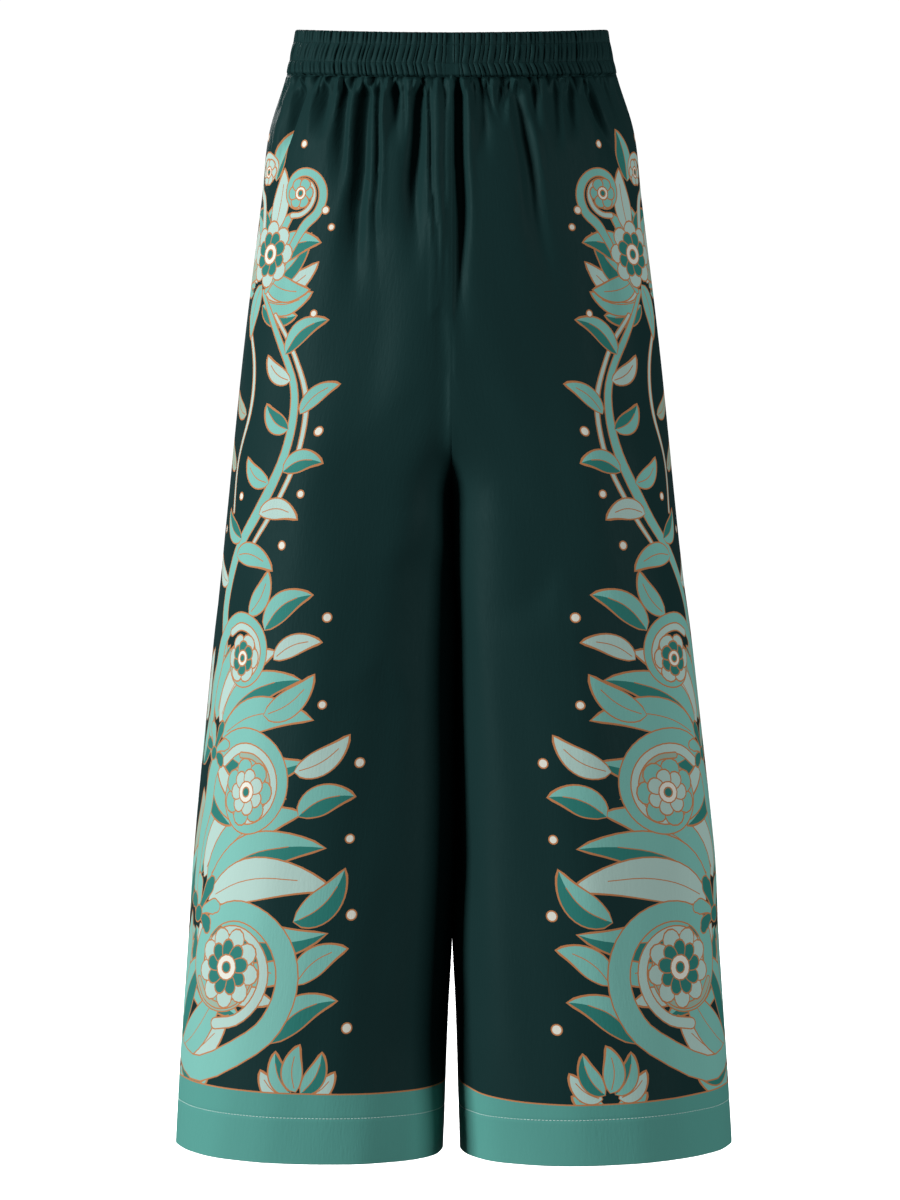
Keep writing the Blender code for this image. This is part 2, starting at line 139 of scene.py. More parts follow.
BACK_FOLDS = table_mm(
    FOLD,
    (-141, -158, 5.8, -6.5, 40, 120), (-108, -120, 6, -9, 40, 180), (-84, -88, 4.6, 3, 40, 200),
    (-67, -80, 6.6, -12, 40, 260), (-44, -47, 4.8, -6.5, 40, 120), (-25, -31, 5.8, -11, 40, 230),
    (-11, -10, 4.2, 2.4, 40, 250), (10, 14, 5.8, -12, 40, 290), (34, 38, 4.8, -6, 40, 130),
    (54, 70, 6.4, -10.5, 40, 240), (78, 83, 4.6, 3, 40, 190), (100, 116, 6, -9, 40, 190),
    (132, 150, 5.6, -7, 40, 130), (-120, -140, 20, -3.5, 200, 560), (90, 112, 22, -4, 190, 540),
    (-100, -130, 28, -3.5, 500, 1300), (85, 115, 28, -3.5, 520, 1300),
    # fine creases between them
    (-20, -4, 2, -1.4, 46, 290), (20, 6, 2.2, 1.4, 44, 260), (46, 51, 2.2, -1.6, 40, 120),
    (-95, -104, 2.8, 1.5, 40, 150), (-56, -60, 2.2, 1.5, 40, 160), (90, 95, 2.2, -1.4, 40, 120),
    (122, 138, 2.8, 1.5, 42, 140),
)
FOLD_RISE = 0.010  # length over which a fold of no width opens below its start
FOLD_RISE_WIDER = 1.7  # and how much longer for each half width
FOLD_FADE = 0.62  # share of a fold's length over which it dies out
FOLD_NARROW = 0.14  # its width where it starts, as a share
FOLD_POINTED = 1.4  # above 1 it widens later than it deepens, to a pointed top
FOLD_SPREAD = 0.6  # how much wider it is where it ends, as a share
FOLD_LEAN = 1.22  # a trough is this much wider on its right than a plain one
FOLD_WANDER = 0.0016  # how far a fold wanders sideways
FOLD_WANDERS = 0.14  # drop over which it does so once
FOLD_WANDER_STEP = 8.0  # turns by which that differs for folds a metre apart
WAVES_START = 0.06  # drop at which the broad waves below start
WAVES_GROW = 0.2  # drop over which they grow to their full height
SIDE_CALM = 0.012  # folds die out this close to a side or inside leg seam
CENTRE_CALM = 0.0035  # and this close to the centre front or back seam
SAMPLES = 721  # points along a cross-section before it is evened out
SHARES = 481  # evenly spaced points kept along it

# Broad, very soft waves of the hanging cloth: height, length across, length down, offset.
WAVES = table(
    "height across down offset",
    (0.00055, 0.120, 0.900, 0.4),
    (0.00035, 0.074, -0.520, 2.1),
    (0.00025, 0.047, 0.330, 4.0),
)

# ---- seams and gathers
SEAM_REACH = 0.0014  # half width of the groove along a seam
HEM_STITCH = 0.0016  # half width of the groove along the hem stitching
HEM_GROOVE = 0.0003  # and how deep it is
HEM_BEND = 0.0007  # radius of the fold at the foot of the hem
TUCK = 0.0016  # how far the legs run up behind the waistband
TUCK_IN = 0.0030  # how deep the cloth sinks where the waistband holds it
TUCK_FADES = 0.0014  # drop over which it comes out again
TUCK_CALM = (0.012, 0.002)  # it sinks less this close to a side seam, and to a centre seam
PLEAT_CALM = (0.034, 0.006)  # the pleats are lower this close to them
PLEAT_OPENS = 0.0014  # length over which a pleat opens below the waistband
PLEAT_FULLNESS = (1.15, 0.45)  # above 1 the crests are narrow, below 1 broad: at top and foot
PLEAT_SINK = 0.62  # how far the plain cloth sinks between them, as a share of their height
PLEAT_SINK_REACH = 0.6  # and how far down it does, as a share of their length
PLEAT_REACH = (0.25, 0.75)  # least share of its length that a pleat has, and what may be added
PLEAT_RISE = (0.35, 0.85)  # the same of its height
PLEAT_DRIFT = (0.25, 0.7)  # how far the pleats swing sideways, and the pace from one to the next
PLEAT_OFFSET = 0.9  # where the first pleat of a family starts
PLEAT_FADES = 1.5  # above 1 a pleat keeps its height for longer, and then drops
PLEATS_END = 4.0  # pleat lengths below the waistband after which there are none
# Pleats that one gather or a few together leave: how many half gathers each spans, and how
# high and how long they are, as shares of the sizes that a user sets.
PLEAT_FAMILIES = table("together size reaches", (1.9, 1.0, 0.60), (4.6, 1.4, 1.30))
GATHERS = 42  # in each quarter of the waistband
GATHER_CALM = 5  # gathers next to a seam over which they settle down
# How much a gather's height differs from one to the next (in radians), from side to side and
# from front to back, and how far apart two uses of the same numbers lie.
UNEVEN = (2.4, 4.1, 7.3)
UNEVEN_APART = 14.0

# How uneven the gathers are: the size of each swing as a share, its pace from one crest or
# dip to the next, and how it differs from side to side and from front to back.
SPACING_SWINGS = table("size pace side face", (0.42, 1.70, 2.1, 0.9), (0.25, 0.61, 0.0, 1.3))
CHANNELS = (0.0, 0.265, 0.680, 1.0)  # edges of the elastic channels, as shares
CHANNEL_SLANTS = (0.0, 0.1, 0.8, 0.1)  # how far the gathers have slanted at each edge
CHANNEL_ROWS = (10, 14, 12)  # rows of the mesh in each channel
GATHER_COLUMNS = 9  # columns of the mesh in each gather
BAND_STITCH_COLUMNS = 3  # columns that one stitch of the waistband spans
GATHER_FULLNESS = 0.50  # below 1 the crests are broad and the dips between them narrow
GATHER_LEAST = 0.32  # share of its height that a gather keeps at a channel's edge
GATHER_RISE = (0.6, 0.6)  # least share of the height that a gather has, and what may be added
CHANNEL_ROUND = 0.6  # below 1 a channel is full over more of its height
INSIDE = 0.6  # share of its height that a gather has on the inside
CASING_CALM = (12.0, 3.0)  # half gathers over which they settle at a side and a centre seam
LOWEST_CALM = 9.0  # and at the centre front in the lowest channel
CHANNEL_STRAYS = (0.9, 0.3, -0.8, 0.4)  # how far the gathers stray sideways at each edge
STRAY = 0.0048  # what one unit of that comes to, as a share of a quarter's width
STRAY_PACES = (2.3, 0.9)  # its pace, from gather to gather and between them
STRAY_STARTS = (1.7, 4.0)  # and where it starts
STRAY_EVENS = 12  # points to each side over which it is evened out
CHANNEL_APART = 6.0  # how far apart two channels lie in the unevenness of their gathers
ROLL = (60, 30, 0, -30, -60)  # rows over its top edge, in degrees from level
INNER_ROWS = 11  # rows of the mesh on the inside of the casing
ROW_APART = 0.0012  # cloth between two rows of the mesh, in the weave
GATHERED = 1.5  # cloth in a gathered metre of the casing, in the weave

# ---- the print, in mm
LINE = 1.3  # copper outline round every motif
VEIN = 0.45  # half width of the vein of a leaf
LEAF_SWELLS = (0.78, 0.85)  # below 1 it is broadest nearer its foot, and broad for longer
PETAL = (0.40, 0.72, 0.22)  # half length, half width and how egg-shaped it is, as shares
PETAL_AT = 0.60  # how far out its middle lies, as a share
RING_REACH = (1.0, 0.68)  # size of each ring of petals
BUTTON_EYE = 0.42  # size of the dot in a button
OUTER_SHORTER = 0.35  # how much shorter the outermost pieces of a spray are
BLADE_STARTS = 0.22  # how far from its foot a leaf of a fan starts
BLADE_LEAST = 0.6  # least share of its width that a short one has
BLADE_BENDS = 0.12  # how far it bends outwards
PALMETTE_EYE = 0.55  # size of the dot at a palmette's foot
# A lobe of a palmette: how far out along it, how wide it is and how far it has curled there.
LOBE = ((0.10, 0.3, 0.0), (0.45, 0.6, 0.13), (0.78, 1, 0.27), (0.93, 0.72, 0.37))
# The edge of the plain hem border on each side, as s and v.
BORDERS = {
    -1: ((-30, 957), (200, 959), (300, 959), (430, 956)),
    1: ((-30, 963), (150, 967), (240, 966), (330, 959), (430, 953)),
}
EDGE_STEP = 5.0  # longest straight edge in an outline

STEMS = table(  # each point is s, v and the width there
    "dye points",
    ("mint", ((46, 240, 3.5), (76, 288, 5), (104, 335, 7), (110, 388, 8.5),
              (88, 440, 9.5), (54, 484, 10.5), (36, 526, 11), (40, 566, 10))),
    ("pale", ((22, 262, 2.5), (44, 306, 3.2), (52, 352, 3.4), (42, 396, 3.2), (46, 440, 2.6))),
    ("pale", ((66, 262, 2.4), (96, 300, 3.2), (120, 345, 3.6), (124, 395, 3.6),
              (104, 440, 3.2), (84, 470, 2.4))),
)

Leaf = namedtuple("Leaf", "dye base tip width bend")
LEAF_SHADES = {"deep": "mint"}  # dye of the lighter half of a leaf of this dye
LEAVES = (
    # along the slender stem
    ("deep", (84, 298), (126, 268), 19, -0.14), ("pale", (95, 322), (64, 300), 14, -0.14),
    ("mint", (116, 352), (146, 326), 16, -0.14), ("deep", (107, 366), (74, 344), 16, -0.12),
    ("deep", (112, 404), (150, 396), 19, -0.16), ("mint", (97, 414), (64, 392), 16, -0.14),
    ("pale", (90, 442), (132, 446), 18, -0.16), ("deep", (66, 464), (34, 438), 18, -0.14),
    ("mint", (58, 480), (108, 492), 20, -0.14), ("pale", (40, 504), (6, 480), 16, -0.14),
    ("grey", (36, 400), (4, 372), 14, -0.14), ("grey", (44, 352), (10, 330), 13, -0.14),
    # up the side seam
    ("grey", (4, 760), (20, 694), 24, 0.12), ("deep", (2, 812), (24, 744), 28, -0.10),
    ("mint", (4, 876), (22, 806), 26, 0.12), ("deep", (6, 672), (22, 612), 26, 0.10),
    ("pale", (4, 632), (8, 566), 20, -0.10),
    # outside the three scrolls
    ("deep", (150, 914), (206, 876), 28, -0.16), ("mint", (168, 862), (212, 830), 24, -0.14),
    ("deep", (162, 806), (204, 760), 28, 0.14), ("pale", (150, 672), (196, 640), 22, 0.12),
    ("deep", (158, 712), (206, 694), 26, -0.14), ("mint", (112, 622), (160, 586), 24, 0.12),
    ("deep", (104, 546), (152, 514), 24, -0.14), ("pale", (118, 572), (164, 556), 18, -0.12),
    ("mint", (82, 532), (104, 494), 19, 0.12),
    # round the top rosette
    ("deep", (54, 216), (110, 196), 25, -0.14), ("mint", (50, 226), (104, 240), 22, 0.12),
    ("grey", (46, 216), (0, 232), 20, 0.10), ("deep", (44, 192), (4, 168), 22, 0.12),
    ("pale", (52, 186), (58, 128), 22, 0.04), ("deep", (46, 138), (54, 92), 20, -0.06),
    ("mint", (42, 234), (30, 282), 18, 0.10),
)

# A scroll winds from its wide outer end to its narrow eye: its centre and radii, the angle
# of its outer end (degrees, clockwise from the right), its turns (clockwise where positive),
# its widths, and the points (s, v, width) that lead into it.
SCROLLS = table(
    "dye centre outer inner start turns wide narrow lead",
    ("mint", (76, 572), 46, 10, 170, 1.50, 13, 6, ((36, 664, 6), (24, 636, 9), (24, 604, 11))),
    ("pale", (76, 572), 32, 10, 225, 1.10, 6, 3, ()),
    ("mint", (98, 692), 64, 14, 165, 1.62, 18, 8, ((40, 806, 8), (24, 776, 12), (26, 738, 15))),
    ("pale", (98, 692), 45, 14, 215, 1.30, 8, 4, ()),
    ("grey", (98, 692), 35, 14, 250, 0.90, 4, 3, ()),
    ("mint", (96, 850), 74, 17, 62, -1.64, 21, 9, ((0, 902, 10), (22, 934, 18), (70, 944, 22))),
    ("pale", (96, 850), 52, 17, 100, -1.35, 9, 4, ()),
    ("grey", (96, 850), 41, 17, 160, -1.00, 5, 3, ()),
    ("mint", (82, 150), 31, 8, 70, -1.30, 8, 4, ((50, 240, 4), (70, 216, 5.5), (84, 192, 7))),
    ("pale", (82, 150), 22, 8, 110, -0.90, 4, 2.4, ()),
    ("pale", (28, 130), 25, 7, 100, 1.20, 6.5, 3, ((48, 228, 4), (36, 196, 5), (30, 168, 6))),
)

# The lobes of a palmette, or the leaves of a fan, spread from a foot about a direction, in
# degrees from the right. The leaves of a fan start a little way from its foot.
SPRAY = "dyes foot reach count middle spread width"
FANS = table(
    SPRAY,
    (("mint", "deep", "pale"), (34, 250), 92, 9, -62, 150, 22),
    (("pale", "deep", "mint"), (20, 796), 176, 11, -6, 128, 38),
    (("mint", "deep", "pale"), (22, 650), 142, 9, -10, 124, 32),
    (("deep", "mint", "pale"), (0, 950), 128, 9, -58, 116, 34),
    (("mint", "deep", "pale"), (176, 968), 52, 7, -90, 150, 18),
)
PALMETTES = table(
    SPRAY,
    (("deep", "mint"), (42, 806), 38, 5, -60, 130, 13),
    (("deep", "mint"), (38, 660), 31, 5, -64, 130, 10),
)

ROSETTES = table(
    "dyes centre radius petals turn button",
    (("pale", "deep"), (76, 572), 22, 6, 0, 0.30),
    (("mint", "pale"), (98, 692), 30, 7, 0, 0.30),
    (("pale", "deep"), (96, 850), 36, 9, 10, 0.30),
    (("pale", "deep"), (50, 206), 30, 8, 0, 0.30),
    (("mint",), (82, 150), 14, 6, 0, 0.40),
    (("pale",), (28, 130), 12, 6, 0, 0.40),
)

BERRIES = table(
    "s v radius",
    (140, 368, 3.4), (60, 426, 2.8), (134, 424, 2.8), (118, 470, 3.2), (20, 456, 2.8),
    (214, 800, 4.0), (206, 732, 3.2), (208, 664, 3.6), (170, 612, 3.0), (168, 534, 3.4),
    (218, 900, 4.0), (112, 166, 3.0), (120, 182, 2.4), (12, 98, 2.8), (80, 104, 2.8),
    (112, 262, 2.6),
)

# The rows in which the hanging surface is worked out: down to each drop, the step between them.
SURFACE_ROWS = table(
    "until step",
    (0.038, 0.001), (0.048, 0.0005), (0.080, 0.001), (0.300, 0.002), (0.976, 0.004),
    (0.986, 0.0005), (LENGTH, 0.004),
)

# The grid of the leg panels between the motifs: from each drop on, its step along s and v.
LEG_GRID = table(
    "drop across down",
    (38.7, 0.8, 0.7), (47.0, 0.8, 1.3), (60.0, 1.3, 2.2), (72.0, 2.0, 3.5), (125.0, 3.0, 6.0),
    (320.0, 5.5, 9.0), (976.0, 5.5, 0.9), (986.0, 5.5, 8.0), (1019.5, 5.5, 0.35),
    (1024.0, 5.5, 9.0),
)


def linear(code):
    """Linear red, green and blue of an sRGB hex code."""
    parts = [int(code[k : k + 2], 16) / 255.0 for k in (1, 3, 5)]
    return tuple(c / 12.92 if c <= 0.04045 else ((c + 0.055) / 1.055) ** 2.4 for c in parts)


# ---- settings
def distance(name, description, default, least, most):
    """A length that a user can set."""
    return FloatProperty(
        name=name, description=description, default=default, min=least, max=most,
        precision=5, subtype="DISTANCE", unit="LENGTH",
    )


def dyed(name, description, code):
    """A colour that a user can set."""
    return FloatVectorProperty(
        name=name, description=description, default=linear(code), min=0.0, max=1.0,
        size=3, subtype="COLOR",
    )


class PantsSizes(bpy.types.PropertyGroup):
    """Sizes that a user would change."""

    cloth: distance("Cloth", "Thickness of the silk", 0.0003, 0.0001, 0.001)
    seam_groove: distance("Seam groove", "How deep the cloth sinks at a seam", 0.0005, 0.0, 0.002)
    pleat_height: distance("Pleats", "Height of the pleats under the waistband", 0.0052, 0.0, 0.006)
    pleat_length: distance("Pleat length", "How far down they reach", 0.034, 0.005, 0.08)
    gather_height: distance("Gathers", "Height of a gather in mid channel", 0.0024, 0.0, 0.004)
    channel_fullness: distance("Channels", "How far a channel swells out", 0.0002, 0.0, 0.003)
    elastic: distance("Elastic", "Thickness of the casing with it", 0.0018, 0.0005, 0.004)
    stitch: distance("Stitch", "Length of one stitch", 0.0024, 0.001, 0.006)
    thread: distance("Thread", "Thickness of the sewing thread", 0.0005, 0.0001, 0.001)
    floor_drop: distance("Floor", "Drop of the studio floor below the waist", 1.30, 1.03, 3.0)


class PantsColours(bpy.types.PropertyGroup):
    """Dyes and threads that a user would change."""

    ground: dyed("Ground", "Bottle green ground of the silk", "#172F2F")
    border: dyed("Border", "Teal of the plain hem border", "#54958C")
    mint: dyed("Mint", "Mint dye of stems and leaves", "#77B5AB")
    pale: dyed("Pale", "Pale dye of the finest stems and petals", "#ABC8C0")
    deep: dyed("Deep", "Deep teal dye of leaves and petals", "#2F776F")
    grey: dyed("Grey", "Grey green dye of the leaves behind", "#93AB9B")
    cream: dyed("Cream", "Undyed silk of berries and buttons", "#DCDDD1")
    copper: dyed("Copper", "Dye of the outlines", "#B67A50")
    casing: dyed("Waistband", "Plain silk of the waistband", "#172F2F")
    # The channel thread is darker than the cloth: partly its own colour, partly painted shade standing
    # in for the shadow in the sunken stitch lines.
    band_thread_and_shade: dyed("Waistband thread", "Thread of the channels", "#0F2222")
    hem_thread: dyed("Hem thread", "Thread of the hems", "#DCF0EA")


# ---- the hanging surface
def ease(value):
    """Smooth step from 0 to 1."""
    value = np.clip(value, 0.0, 1.0)
    return value * value * (3.0 - 2.0 * value)


def calm(along, start, stop):
    """Rises from 0 over one length at the start of a row, and falls over another at its end."""
    return ease(along / start) * ease((along[-1] - along) / stop)


def dying(away, reach, power=2):
    """1 where it starts, and dies out over about this reach."""
    return np.exp(-((away / reach) ** power))


def level(drop, column):
    """One column of the level table at any drop, as a smooth curve through its rows."""
    at = np.array([row.drop for row in LEVELS])
    values = np.array([getattr(row, column) for row in LEVELS])
    slopes = np.gradient(values, at)
    drop = float(np.clip(drop, at[0], at[-1]))
    k = int(np.clip(np.searchsorted(at, drop) - 1, 0, len(at) - 2))
    span = at[k + 1] - at[k]
    t = (drop - at[k]) / span
    rise = (values[k + 1] - values[k]) / span
    flattest = 3.0 * abs(rise)
    start = np.clip(slopes[k], -flattest, flattest)
    stop = np.clip(slopes[k + 1], -flattest, flattest)
    return float(
        values[k] * (1 + 2 * t) * (1 - t) ** 2
        + start * span * t * (1 - t) ** 2
        + values[k + 1] * t * t * (3 - 2 * t)
        + stop * span * t * t * (t - 1)
    )


def split(drop):
    """How far the two legs have parted: 0 in the waist, 1 at the crotch and below."""
    t = float(np.clip((drop - SPLIT_STARTS) / (CROTCH - SPLIT_STARTS), 0.0, 1.0))
    return (t**3 * (10.0 - 15.0 * t + 6.0 * t * t)) ** SPLIT_POWER


def swings(rows, index, side, face):
    """Sum of the swings at each crest and dip."""
    return sum(
        row.size * np.sin(row.pace * index + row.side * side + row.face * face) for row in rows
    )


def gather_spacing(side, face, slant):
    """Shares of a quarter's width at which its gathers rise and sink, one crest and one dip
    for each, unevenly spaced and slanted by this many gathers away from the seams."""
    count = 2 * GATHERS
    index = np.arange(count + 1)
    widths = 1.0 + swings(SPACING_SWINGS, index[1:], side, face)
    evenly = np.concatenate([[0.0], np.cumsum(widths)]) / widths.sum()
    leaning = calm(index, 2 * GATHER_CALM, 2 * GATHER_CALM)
    return evenly + 2.0 * slant * side * -face * leaning / count


class Quarter:
    """The hanging surface of one quarter of the garment, from the waist to the hem.

    side is -1 for the wearer's right and 1 for the left, face is -1 for the front and 1 for
    the back. It is kept as a table of rows (drops) and of even shares of the row's width.
    """

    def __init__(self, side, face, sizes):
        self.side, self.face, self.sizes = side, face, sizes
        starts = [0.0] + [rows.until for rows in SURFACE_ROWS]
        self.drops = np.concatenate(
            [np.linspace(start, rows.until, round((rows.until - start) / rows.step), endpoint=False)
             for start, rows in zip(starts, SURFACE_ROWS)] + [[LENGTH]]
        )
        rows = [self.row(drop) for drop in self.drops]
        self.widths = np.array([width for width, _ in rows])
        self.points = np.array([points for _, points in rows])
        across = np.gradient(self.points, axis=1)
        down = np.gradient(self.points, self.drops, axis=0)
        self.downs = down / np.linalg.norm(down, axis=2, keepdims=True)
        normals = np.cross(down, across) * side * face
        normals[:, 0, 1] = 0.0
        below = self.drops >= CROTCH
        normals[below, -1, 1] = 0.0
        normals[~below, -1, 0] = np.minimum(side * normals[~below, -1, 0], 0.0) * side
        self.normals = normals / np.linalg.norm(normals, axis=2, keepdims=True)

    def row(self, drop):
        """The width of one row, and its points at even shares."""
        side, face = self.side, self.face
        half = level(drop, "half_width")
        gap = level(drop, "gap") if drop > CROTCH else 0.0
        depth = level(drop, "front" if face < 0 else "back")
        inner, draw, parted = level(drop, "round"), 0.0, split(drop)
        if face < 0:
            crisper = ease((drop - CROTCH) / FRONT_INNER_EASES)
            crisper *= ease((LENGTH - drop) / FRONT_INNER_EASES)
            inner *= 1.0 + (FRONT_INNER[side] - 1.0) * crisper
            draw = level(drop, "draw") * parted if side > 0 else 0.0
        radius = (half - gap) / (1 + parted)
        last = np.arccos(-(parted ** (1 / inner)))
        angle = last * (0.5 - 0.5 * np.cos(np.linspace(0.0, np.pi, SAMPLES)))
        power = np.where(angle > np.pi / 2, inner, 1.0)
        across = np.sign(np.cos(angle)) * np.abs(np.cos(angle)) ** power
        forward = np.clip(np.sin(angle), 0.0, 1.0) ** power
        across = np.where(across < 0, across * (1.0 - draw * forward), across)
        x = side * (half - radius + radius * across)
        y = face * depth * forward
        along = np.concatenate([[0.0], np.cumsum(np.hypot(np.diff(x), np.diff(y)))])
        slope_x, slope_y = np.gradient(x, along), np.gradient(y, along)
        size = np.maximum(np.hypot(slope_x, slope_y), 1e-9) * side * face
        height = self.relief(drop, x, along)
        x, y = x + height * slope_y / size, y - height * slope_x / size
        if drop > BAND_DEPTH - TUCK:
            groove = self.sizes.seam_groove
            x -= side * groove * dying(along, SEAM_REACH)
            end = groove * dying(along[-1] - along, SEAM_REACH)
            if drop < CROTCH:
                y -= face * end
            else:
                x += side * end
        reach = np.abs(y / depth) ** DIP_POWER
        fade = 1.0 - ease(drop / DIP_FADES)
        lift = (-FRONT_DIP if face < 0 else BACK_RISE) * reach * fade
        slope = HEM_SLOPE * ease((drop - HEM_SLOPE_STARTS) / (LENGTH - HEM_SLOPE_STARTS))
        lift = lift - slope * (1.0 - np.abs(x) / half)
        sway = SWAY * ease((drop - CROTCH) / SWAY_SPREADS)
        sway *= 1.0 - ease((drop - SWAY_FADES) / (SWAY_ENDS - SWAY_FADES))
        lean = LEAN * ease((drop - LEAN_STARTS) / LEAN_STARTS)
        moved = x + sway * np.sin(np.pi * y / depth) + lean * (x / half) ** 2
        even = np.linspace(0.0, along[-1], SHARES)
        return along[-1], np.stack(
            [np.interp(even, along, values) for values in (moved, y, lift - drop)], axis=1
        )

    def relief(self, drop, x, along):
        """How far folds, creases, seams and pleats lift the cloth off its plain row."""
        height = np.zeros_like(along)
        rising = x[-1] < x[0]
        order_x = x[::-1] if rising else x
        order_s = along[::-1] if rising else along
        for fold in FRONT_FOLDS if self.face < 0 else BACK_FOLDS:
            if not fold.starts < drop < fold.ends:
                continue
            share = (drop - fold.starts) / (fold.ends - fold.starts)
            at_x = fold.top_x + (fold.low_x - fold.top_x) * share
            turn = 2 * np.pi * (drop / FOLD_WANDERS + FOLD_WANDER_STEP * fold.top_x)
            at_x += FOLD_WANDER * np.sin(turn) * ease((drop - BAND_DEPTH) / FOLD_WANDERS)
            if not order_x[0] < at_x < order_x[-1]:
                continue
            at = np.interp(at_x, order_x, order_s)
            opens = ease((drop - fold.starts) / (FOLD_RISE + FOLD_RISE_WIDER * fold.width))
            closes = ease((1.0 - share) / FOLD_FADE)
            widening = FOLD_NARROW + (1 - FOLD_NARROW) * opens**FOLD_POINTED
            widening = fold.width * (widening + FOLD_SPREAD * share)
            away = (at - along) * self.side
            if fold.height < 0:
                widening = widening * np.where(away < 0, FOLD_LEAN, 1 / FOLD_LEAN)
            height += fold.height * opens * closes * dying(away, widening)
        for wave in WAVES:
            phase = along / wave.across + drop / wave.down + wave.offset * (1.5 + self.side)
            height += wave.height * np.sin(2 * np.pi * phase) * ease((drop - WAVES_START) / WAVES_GROW)
        height *= calm(along, SIDE_CALM, CENTRE_CALM if drop < CROTCH else SIDE_CALM)
        if drop > BAND_DEPTH - TUCK:
            height += self.pleats(drop, along)
        height -= HEM_GROOVE * dying(drop - LENGTH + HEM_DEPTH, HEM_STITCH)
        return height

    def gather_phase(self, share, slant):
        """How many half gathers lie between the side seam and this share of the width."""
        spacing = gather_spacing(self.side, self.face, slant)
        return np.interp(share, spacing, np.arange(len(spacing)))

    def uneven(self, phase):
        """A number from 0 to 1 for the gather at this phase, different for each."""
        pace, by_side, by_face = UNEVEN
        index = np.floor(phase / 2.0)
        return 0.5 + 0.5 * np.sin(pace * index + by_side * self.side + by_face * self.face)

    def pleats(self, drop, along):
        """The pleats that the gathers of the waistband leave in the legs below it: small ones
        that soon die out, and longer ones where a few gathers run together."""
        below = max(drop - BAND_DEPTH, 0.0)
        length, tallest = self.sizes.pleat_length, self.sizes.pleat_height
        if below > PLEATS_END * length:
            return 0.0
        phase = self.gather_phase(along / along[-1], 0.0)
        seams = calm(along, *PLEAT_CALM) * ease(below / PLEAT_OPENS)
        height = -TUCK_IN * dying(below, TUCK_FADES) * calm(along, *TUCK_CALM)
        swing, pace = PLEAT_DRIFT
        top, foot = PLEAT_FULLNESS
        for family in PLEAT_FAMILIES:
            drift = swing * self.face * np.sin(pace * phase) * below / length
            here = phase / family.together + drift + PLEAT_OFFSET * family.together
            crest = np.abs(np.sin(np.pi / 2 * here))
            reach = PLEAT_REACH[0] + PLEAT_REACH[1] * self.uneven(here)
            reach = length * family.reaches * reach
            tall = PLEAT_RISE[0] + PLEAT_RISE[1] * self.uneven(here + UNEVEN_APART)
            tall = tallest * family.size * tall
            crest = crest ** (foot + (top - foot) * dying(below, reach))
            height += tall * crest * seams * dying(below, reach, PLEAT_FADES)
            # The sink is the same for every pleat, so that none has a step at its edge.
            sink = PLEAT_SINK * tallest * family.size
            reach = PLEAT_SINK_REACH * length * family.reaches
            height -= sink * seams * dying(below, reach, PLEAT_FADES)
        return height

    def width(self, v):
        """Width of the cloth at these drops."""
        return np.interp(v, self.drops, self.widths)

    def rows_at(self, v):
        """Which two rows a drop lies between, and how far along."""
        k = np.clip(np.searchsorted(self.drops, v) - 1, 0, len(self.drops) - 2)
        return k, np.clip((v - self.drops[k]) / (self.drops[k + 1] - self.drops[k]), 0, 1)

    def look_up(self, values, s, v):
        """A table's value at distances s from the side seam and drops v."""
        k, t = self.rows_at(v)
        place = np.clip(s / self.width(v), 0.0, 1.0) * (SHARES - 1)
        j = np.clip(place.astype(int), 0, SHARES - 2)
        u = (place - j)[:, None]
        t = t[:, None]
        upper = values[k, j] * (1 - u) + values[k, j + 1] * u
        lower = values[k + 1, j] * (1 - u) + values[k + 1, j + 1] * u
        return upper * (1 - t) + lower * t

    def place(self, s, v):
        """Points and outward directions of the cloth, round the fold of the hem and up."""
        s, v = np.asarray(s, float), np.asarray(v, float)
        turn_at = LENGTH - HEM_BEND
        round_fold = np.clip(v - turn_at, 0.0, np.pi * HEM_BEND)
        past = np.maximum(v - turn_at - np.pi * HEM_BEND, 0.0)
        flat_v = np.minimum(v, turn_at) - past
        points = self.look_up(self.points, s, flat_v)
        normals = self.look_up(self.normals, s, flat_v)
        downs = self.look_up(self.downs, s, flat_v)
        normals /= np.linalg.norm(normals, axis=1, keepdims=True)
        angle = (round_fold / HEM_BEND)[:, None]
        points += HEM_BEND * (np.sin(angle) * downs - (1 - np.cos(angle)) * normals)
        return points, np.cos(angle) * normals + np.sin(angle) * downs


# ---- drawing the print
def smooth_line(points, steps):
    """A smooth curve through points of any number of columns."""
    points = np.asarray(points, float)
    points = np.vstack([2 * points[0] - points[1], points, 2 * points[-1] - points[-2]])
    t = np.linspace(0.0, 1.0, steps, endpoint=False)[:, None]
    pieces = [
        b + 0.5 * t * (c - a + t * (2 * a - 5 * b + 4 * c - d + t * (3 * (b - c) + d - a)))
        for a, b, c, d in zip(points, points[1:], points[2:], points[3:])
    ]
    return np.vstack(pieces + [points[-2:-1]])


def across_of(line):
    """Unit directions along a line and across it."""
    along = np.gradient(line, axis=0)
    along /= np.maximum(np.linalg.norm(along, axis=1), 1e-9)[:, None]
    return along, np.stack([-along[:, 1], along[:, 0]], 1)


def swept(line, half):
    """Outline of a band of these half widths along a line, rounded at both ends."""
    along, across = across_of(line)
    caps = []
    for at, way, size in ((line[-1], along[-1], half[-1]), (line[0], -along[0], half[0])):
        aside = np.array([-way[1], way[0]])
        turn = np.radians(np.linspace(60.0, -60.0, 5 if size > 4 else 3))[:, None]
        caps.append(at + size * (np.cos(turn) * way + np.sin(turn) * aside))
    spread = across * half[:, None]
    return np.vstack([line + spread, caps[0], (line - spread)[::-1], caps[1]])


def divided(outline):
    """An outline with its long edges divided, so that it can bend with the cloth."""
    pieces = []
    for start, stop in zip(outline, np.roll(outline, -1, axis=0)):
        count = max(int(np.ceil(np.linalg.norm(stop - start) / EDGE_STEP)), 1)
        share = np.arange(count)[:, None] / count
        pieces.append(start + (stop - start) * share)
    return np.vstack(pieces)


